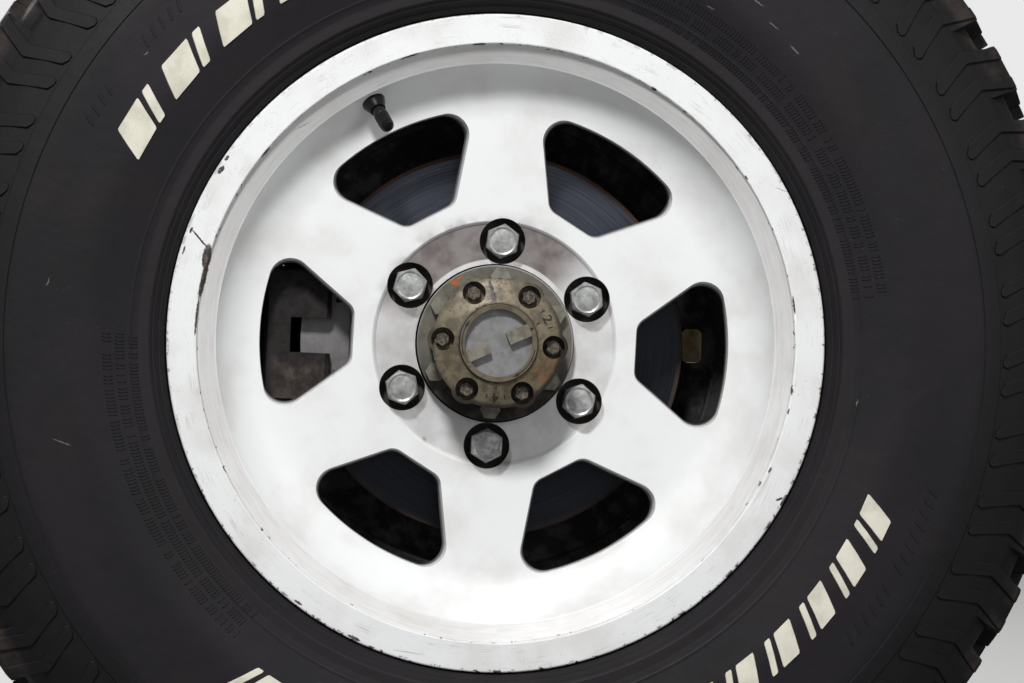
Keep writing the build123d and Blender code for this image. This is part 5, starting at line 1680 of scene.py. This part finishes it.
@dataclass
class Valve:
    """Ribbed cap on the tyre valve."""

    angle: float = -26.9
    tilt: float = 45.0
    radius: float = 4.9 * MM
    length: float = 15 * MM
    ribs: int = 20
    rib_depth: float = 0.35 * MM
    # Columns, in millimetres: distance from the cap's end, inset from its radius, share of the ribs
    foot: tuple[tuple[float, float, int], ...] = (
        (1.0, 0.9, 0), (0.0, 0.6, 0), (0.2, 0.1, 0), (2.0, 0.0, 0), (2.4, 0.0, 1),
    )
    head: tuple[tuple[float, float, int], ...] = (
        (3.0, 0.0, 1), (2.4, 0.2, 0), (1.0, 0.5, 0), (0.3, 1.3, 0), (0.0, 2.4, 0), (0.0, 4.6, 0),
    )

    def build(self) -> None:
        """Make the cap in place of the plain one."""
        low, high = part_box("valve_cap")
        tilt = math.radians(self.tilt)
        lean = Vector((0, -math.sin(tilt), -math.cos(tilt)))
        lean = Matrix.Rotation(math.radians(self.angle), 4, "Y") @ lean
        place = Matrix.Translation((low + high) / 2) @ lean.to_track_quat("Z", "Y").to_matrix().to_4x4()
        samples = 6 * self.ribs
        half = self.length / 2
        levels = [(away * MM - half, inset * MM, ribbed) for away, inset, ribbed in self.foot]
        levels += [(half - away * MM, inset * MM, ribbed) for away, inset, ribbed in self.head]
        rows = []
        for height, inset, ribbed in levels:
            row = []
            for index in range(samples):
                angle = math.tau * index / samples
                cut = ribbed * self.rib_depth * (1 - math.cos(self.ribs * angle)) / 2
                reach = self.radius - inset - cut
                row.append(place @ Vector((reach * math.cos(angle), reach * math.sin(angle), height)))
            rows.append(row)
        draft = Draft()
        draft.loft(rows)
        draft.piece("valve_cap_ribbed", CAP_PLASTIC, Slot.CAP, Body.WHEEL, ["valve_cap"])
        dress(VALVE_RUBBER, "valve_stem")


@dataclass
class LockingHub:
    """Manual locking hub: finishes, plain numbers and ticks on the cover, arcs on the dial."""

    cover_radius: float = 43.5 * MM
    cover_rise: float = 7 * MM
    dial_radius: float = 26.3 * MM
    dial_rim: float = 3.8 * MM
    mark_radius: float = 36.2 * MM
    mark_rise: float = 0.35 * MM
    numeral_size: float = 9.5 * MM
    numeral_bevel: float = 0.1 * MM
    dial_rise: float = 0.25 * MM
    dial_sink: float = 0.4 * MM
    # Spans of the arcs on the dial, in degrees
    arcs: tuple[tuple[float, float], ...] = ((100.0, 158.0), (250.0, 308.0))
    arc_half: float = 0.32 * MM
    arc_steps: int = 14
    head_start: float = 0.84
    head_half: float = 1.1 * MM
    head_tip: float = 0.05 * MM
    pointer: float = 67.0
    pointer_half: float = 3.4
    pointer_reach: float = 1.5 * MM
    # Columns: numeral, angle of its middle in degrees
    numerals: tuple[tuple[str, float], ...] = (("2", 64.0), ("4", 183.0))
    # Columns: distance inside the numerals' circle, degrees from the numeral, length, width
    ticks: tuple[tuple[float, float, float, float], ...] = (
        (6.8 * MM, 0.0, 2.4 * MM, 0.9 * MM),
        (0.0, -9.5, 3.2 * MM, 0.8 * MM),
        (0.0, 9.5, 3.2 * MM, 0.8 * MM),
    )

    def __post_init__(self) -> None:
        """Take the faces of the cover and the dial from the frame."""
        self.cover_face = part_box("lock_hub_cover")[0].y
        self.dial_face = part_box("lock_hub_dial")[0].y

    def surface(self, radius: float, angle: float) -> Matrix:
        """Place on the cover's cone face: x clockwise, y outwards, z off the surface.

        Args:
            radius: Distance from the spin axis.
            angle: Degrees clockwise from the top.

        Returns:
            Matrix of the place.
        """
        slope = self.cover_rise / (self.cover_radius - self.dial_radius)
        y = self.cover_face + slope * (radius - self.dial_radius)
        out = spot(1.0, angle, 0.0)
        around = spot(1.0, angle + 90, 0.0)
        front = Vector((0.0, -1.0, 0.0))
        axes = Matrix((around, (out - slope * front).normalized(), (front + slope * out).normalized()))
        return Matrix.Translation(spot(radius, angle, y)) @ axes.transposed().to_4x4()

    def numeral(self, text: str, angle: float) -> bpy.types.Mesh:
        """Mesh of one raised numeral on the cover.

        Args:
            text: The numeral.
            angle: Angle of its middle.

        Returns:
            The mesh, in the row frame.
        """
        curve = bpy.data.curves.new("numeral", "FONT")
        curve.body = text
        curve.size = self.numeral_size
        curve.extrude = self.mark_rise
        curve.bevel_depth = self.numeral_bevel
        curve.align_x = "CENTER"
        curve.align_y = "CENTER"
        holder = bpy.data.objects.new("numeral", curve)
        bpy.context.scene.collection.objects.link(holder)
        bpy.context.view_layer.update()
        evaluated = holder.evaluated_get(bpy.context.evaluated_depsgraph_get())
        mesh = bpy.data.meshes.new_from_object(evaluated)
        bpy.data.objects.remove(holder)
        mesh.transform(self.surface(self.mark_radius, angle))
        return mesh

    def tick(self, draft: Draft, radius: float, angle: float, length: float, width: float) -> None:
        """Add a raised tick on the cover that points outwards."""
        place = self.surface(radius, angle)
        rows = []
        for height, inset in ((-0.4 * MM, 0.0), (0.2 * MM, 0.0), (self.mark_rise, 0.15 * MM)):
            x, y = width / 2 - inset, length / 2 - inset
            corners = ((-x, -y), (x, -y), (x, y), (-x, y))
            rows.append([place @ Vector((*corner, height)) for corner in corners])
        draft.loft(rows)

    def dial_marks(self) -> None:
        """Raised arcs with arrow heads, and the pointer, on the dial's rim."""
        draft = Draft()
        middle = self.dial_radius - self.dial_rim / 2
        front = self.dial_face - self.dial_rise
        back = self.dial_face + self.dial_sink
        for start, end in self.arcs:
            rows = []
            for index in range(self.arc_steps + 1):
                share = index / self.arc_steps
                half = self.arc_half
                if share >= self.head_start:
                    half = self.head_half * (1 - share) / (1 - self.head_start) + self.head_tip
                inner, outer = middle - half, middle + half
                angle = start + (end - start) * share
                outline = ((inner, back), (inner, front), (outer, front), (outer, back))
                rows.append([spot(radius, angle, y) for radius, y in outline])
            draft.loft(rows)
        wide = middle - self.pointer_reach
        corners = (
            (middle + self.pointer_reach, self.pointer),
            (wide, self.pointer - self.pointer_half),
            (wide, self.pointer + self.pointer_half),
        )
        draft.loft([[spot(radius, angle, y) for radius, angle in corners] for y in (back, front)])
        draft.piece("dial_marks", MARK_GRIME, Slot.DIAL, Body.WHEEL, smooth=False)

    def build(self) -> None:
        """Dress the hub and add its marks."""
        dress(CoverAlloy(), "lock_hub_cover")
        dress(HousingAlloy(), "lock_hub_body")
        dress(DialAlloy(), "lock_hub_dial")
        dress(SCREW, "lock_hub_screws")
        dress(STAINED_NUT, "lock_hub_nuts")
        for text, angle in self.numerals:
            add_piece(f"cover_numeral_{text}", self.numeral(text, angle), MARK_GRIME, Slot.COVER, Body.WHEEL)
        draft = Draft()
        for _, angle in self.numerals:
            for inset, turn, length, width in self.ticks:
                self.tick(draft, self.mark_radius - inset, angle + turn, length, width)
        draft.piece("cover_ticks", MARK_GRIME, Slot.COVER, Body.WHEEL, smooth=False)
        self.dial_marks()


@dataclass
class Shield:
    """Edging round the dust shield, and the plate that narrows its notch to the tie-rod eye; both are dark
    sheets that also stand in for the shade behind the wheel's windows.
    """

    steps: int = 240
    reach: float = 12.5 * MM
    skirt_front: float = 0.4 * MM
    skirt_back: float = 3.0 * MM
    # Columns: distance in from the outer edge, distance behind the shield's face
    roll: tuple[tuple[float, float], ...] = (
        (1 * MM, 2.4 * MM), (0.0, 3.6 * MM), (0.4 * MM, 4.8 * MM), (1.6 * MM, 4.4 * MM),
    )
    sink: float = 0.6 * MM
    caliper_flat: float = 159.4 * MM
    corner_room: float = 164 * MM
    corner_end: float = 15.6
    shoulder_room: float = 161.9 * MM
    gap_start: float = 18.0
    gap_room: float = 155 * MM
    bracket_start: float = 20.4
    bracket_room: float = 167.6 * MM
    caliper_middle: float = -87.4
    caliper_half: float = 34.0
    notch_inner: float = 122 * MM
    notch_half: float = 24.6 * MM
    plate: float = 1.4 * MM
    plate_overlap: float = 4 * MM
    # Left, right, bottom and top of the hole
    eye: tuple[float, float, float, float] = (137.5 * MM, 151.5 * MM, -13.5 * MM, 10.5 * MM)
    eye_round: float = 4 * MM
    eye_steps: int = 48
    eye_back: float = 6 * MM
    spread: float = 60 * MM

    def room(self, away: float, seat: float) -> float:
        """Inner radius of the edging, clear of the caliper and its bracket.

        Args:
            away: Angle from the middle of the caliper, in degrees.
            seat: Radius of the lip that carries the edging.

        Returns:
            The radius.
        """
        if away > self.caliper_half:
            return seat - self.sink
        if away > self.bracket_start:
            return self.bracket_room
        if away > self.gap_start:
            return self.gap_room
        if away > self.corner_end:
            return self.shoulder_room
        return min(self.corner_room, self.caliper_flat / math.cos(math.radians(away)))

    def edging(self) -> None:
        """Rolled edging on the lip, which follows the caliper's back where the lip is cut away."""
        low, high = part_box("dust_shield")
        seat, front = high.z, low.y
        outer = seat + self.reach
        rows = []
        for index in range(self.steps):
            angle = 360 * index / self.steps
            away = abs((angle - self.caliper_middle + 180) % 360 - 180)
            inner = self.room(away, seat)
            outline = [(inner, self.skirt_front)]
            outline += [(outer - inset, back) for inset, back in self.roll]
            outline.append((inner, self.skirt_back))
            rows.append([spot(radius, angle, front + back) for radius, back in outline])
        draft = Draft()
        draft.loft(rows, closed=True)
        # Dark edging that also stands in for the shade behind the windows
        draft.piece("shield_edging", SHIELD_STEEL, Slot.SHIELD, Body.KNUCKLE)

    def eye_plate(self) -> None:
        """Plate in the notch with a rounded hole in front of the tie-rod eye."""
        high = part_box("dust_shield")[1]
        reach = high.z + self.plate_overlap
        back = high.y - self.eye_back
        left, right, bottom, top = self.eye
        hole, rim = [], []
        centre = Vector(((left + right) / 2, (bottom + top) / 2))
        for index in range(self.eye_steps):
            turn = math.tau * index / self.eye_steps
            way = Vector((math.cos(turn), math.sin(turn)))
            corner = Vector((
                math.copysign((right - left) / 2 - self.eye_round, way.x),
                math.copysign((top - bottom) / 2 - self.eye_round, way.y),
            ))
            hole.append(centre + corner + way * self.eye_round)
            z = max(-self.notch_half, min(self.notch_half, centre.y + way.y * self.spread))
            x = min((reach * reach - z * z) ** 0.5, centre.x + way.x * self.spread)
            rim.append(Vector((max(self.notch_inner - 1 * MM, x), z)))
        rows = [
            [Vector((point.x, y, point.y)) for point in outline]
            for outline, y in ((hole, back), (rim, back), (rim, back - self.plate), (hole, back - self.plate))
        ]
        draft = Draft()
        draft.loft(rows, closed=True)
        # Dark plate that also stands in for the shade behind the window, leaving the tie-rod eye to show
        draft.piece("shield_eye_plate", SHIELD_STEEL, Slot.SHIELD, Body.KNUCKLE, smooth=False)

    def build(self) -> None:
        """Make both pieces."""
        self.edging()
        self.eye_plate()


@dataclass
class Running:
    """Wheel, hub, brake and knuckle, which keep their CAD shapes."""

    finishes: tuple[tuple[Finish, tuple[str, ...]], ...] = (
        (WheelPaint(), ("wheel_rim", "wheel_casting")),
        (ZINC, ("wheel_studs",)),
        (HUB_IRON, ("hub",)),
        (GROUND_STEEL, ("bearing_inner", "bearing_outer", "spindle", "caliper_piston", "caliper_pins")),
        (SweptDisc(), ("brake_disc",)),
        (KNUCKLE_IRON, ("knuckle",)),
        (CALIPER_IRON, ("caliper_body", "caliper_bracket")),
        (ARM_STEEL_PAINTED_LIGHT, ("steering_arm",)),
        (SHIELD_STEEL, ("dust_shield",)),
        (PLATE_STEEL, ("pad_plates",)),
        (LINING, ("pad_linings",)),
        (BLACK_RUBBER, ("caliper_boots",)),
        (SCREW, ("spindle_bolts", "steering_arm_bolts", "caliper_bracket_bolts", "bleed_screw")),
    )

    def build(self) -> None:
        """Dress each node."""
        for finish, nodes in self.finishes:
            dress(finish, *nodes)


def aim(name: str, data: bpy.types.ID, place: Vector, target: Vector) -> bpy.types.Object:
    """Put a camera or a lamp into the scene, turned towards a point.

    Args:
        name: Name of the object.
        data: The camera or lamp.
        place: Where it stands.
        target: What it looks at.

    Returns:
        The object.
    """
    made = bpy.data.objects.new(name, data)
    made.location = place
    made.rotation_mode = "QUATERNION"
    made.rotation_quaternion = (target - made.location).to_track_quat("-Z", "Y")
    bpy.context.scene.collection.objects.link(made)
    return made


@dataclass
class Studio:
    """Plain pale floor and backdrop, soft lamps, and the camera at the photograph's viewing angle."""

    distance: float = 1.93
    azimuth: float = -2.9
    elevation: float = -0.25
    lens: float = 101.6
    sensor: float = 36.0
    wheel_pixel: tuple[float, float] = (497.5, 343.1)
    frame_pixels: tuple[float, float] = (1024.0, 683.0)
    floor_tone: Colour = srgb(228, 228, 226)
    floor_bounce: Colour = srgb(120, 120, 122)
    floor_radius: float = 6.0
    floor_points: int = 72
    world_strength: float = 0.26
    backdrop_strength: float = 0.82
    # Columns: place, size, power in watts
    lamps: tuple[tuple[tuple[float, float, float], float, float], ...] = (
        ((-0.45, -2.08, 1.88), 0.42, 71.0),
        ((1.9, -2.6, 0.9), 1.6, 14.0),
        ((-1.2, 2.4, 1.8), 1.6, 42.0),
    )

    def camera(self) -> None:
        """Camera on the line from the wheel's face, aimed so that the wheel lands on its pixel."""
        face = Vector((0.0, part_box("wheel_rim")[0].y, 0.0))
        azimuth, elevation = math.radians(self.azimuth), math.radians(self.elevation)
        back = Vector((
            math.sin(azimuth) * math.cos(elevation),
            -math.cos(azimuth) * math.cos(elevation),
            math.sin(elevation),
        ))
        pixel = self.distance * self.sensor / self.lens / self.frame_pixels[0]
        right = (self.frame_pixels[0] / 2 - self.wheel_pixel[0]) * pixel
        up = (self.wheel_pixel[1] - self.frame_pixels[1] / 2) * pixel
        data = bpy.data.cameras.new("camera")
        data.lens = self.lens
        data.sensor_width = self.sensor
        data.clip_end = 100.0
        target = face + Vector((right, 0.0, up))
        bpy.context.scene.camera = aim("camera", data, face + back * self.distance, target)

    def lights(self) -> None:
        """Large soft lamps, each aimed at the wheel."""
        target = Vector((0.0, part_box("wheel_rim")[0].y, 0.0))
        for index, (place, size, power) in enumerate(self.lamps):
            data = bpy.data.lights.new(f"lamp_{index}", "AREA")
            data.shape = "DISK"
            data.size = size
            data.energy = power
            aim(f"lamp_{index}", data, Vector(place), target)

    def world(self) -> None:
        """Pale world: it lights softly, and shows brighter to the camera and to rays through clear surfaces.
        """
        world = bpy.data.worlds.new("studio")
        world.use_nodes = True
        tree = world.node_tree
        tree.nodes.clear()
        ray = tree.nodes.new("ShaderNodeLightPath")
        seen = tree.nodes.new("ShaderNodeMath")
        seen.operation = "MAXIMUM"
        tree.links.new(ray.outputs["Is Camera Ray"], seen.inputs[0])
        tree.links.new(ray.outputs["Is Transmission Ray"], seen.inputs[1])
        shades = []
        for strength in (self.world_strength, self.backdrop_strength):
            shade = tree.nodes.new("ShaderNodeBackground")
            shade.inputs["Color"].default_value = (1.0, 1.0, 1.0, 1.0)
            shade.inputs["Strength"].default_value = strength
            shades.append(shade)
        mixed = tree.nodes.new("ShaderNodeMixShader")
        output = tree.nodes.new("ShaderNodeOutputWorld")
        tree.links.new(seen.outputs[0], mixed.inputs[0])
        tree.links.new(shades[0].outputs[0], mixed.inputs[1])
        tree.links.new(shades[1].outputs[0], mixed.inputs[2])
        tree.links.new(mixed.outputs[0], output.inputs["Surface"])
        bpy.context.scene.world = world

    def floor(self) -> None:
        """Round pale floor under the tyre."""
        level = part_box("tyre")[0].z
        turns = [360 * index / self.floor_points for index in range(self.floor_points)]
        rim = [spot(self.floor_radius, turn, 0.0) for turn in turns]
        top = [Vector((point.x, point.z, level)) for point in rim]
        mesh = bpy.data.meshes.new("studio_floor")
        mesh.from_pydata(top, [], [tuple(range(len(top)))])
        tone = Shader("studio_floor")
        ray = tone.node("ShaderNodeLightPath")
        seen = Value(tone, ray.outputs["Is Camera Ray"])
        mesh.materials.append(tone.finish(
            Base_Color=tone.mix(seen, self.floor_bounce, self.floor_tone), Roughness=0.9
        ))
        floor = bpy.data.objects.new("studio_floor", mesh)
        bpy.context.scene.collection.objects.link(floor)

    def build(self) -> None:
        """Set the scene and its plain look."""
        self.camera()
        self.lights()
        self.world()
        self.floor()
        bpy.context.scene.view_settings.view_transform = "Standard"


def main() -> None:
    """Build the studio and every sub-assembly in order."""
    logging.basicConfig(level=logging.INFO, format="%(message)s")
    for part in (Studio(), Running(), Shield(), Tyre(), WheelNuts(), Valve(), LockingHub()):
        LOG.info("building %s", type(part).__name__)
        part.build()


if __name__ == "__main__":
    main()
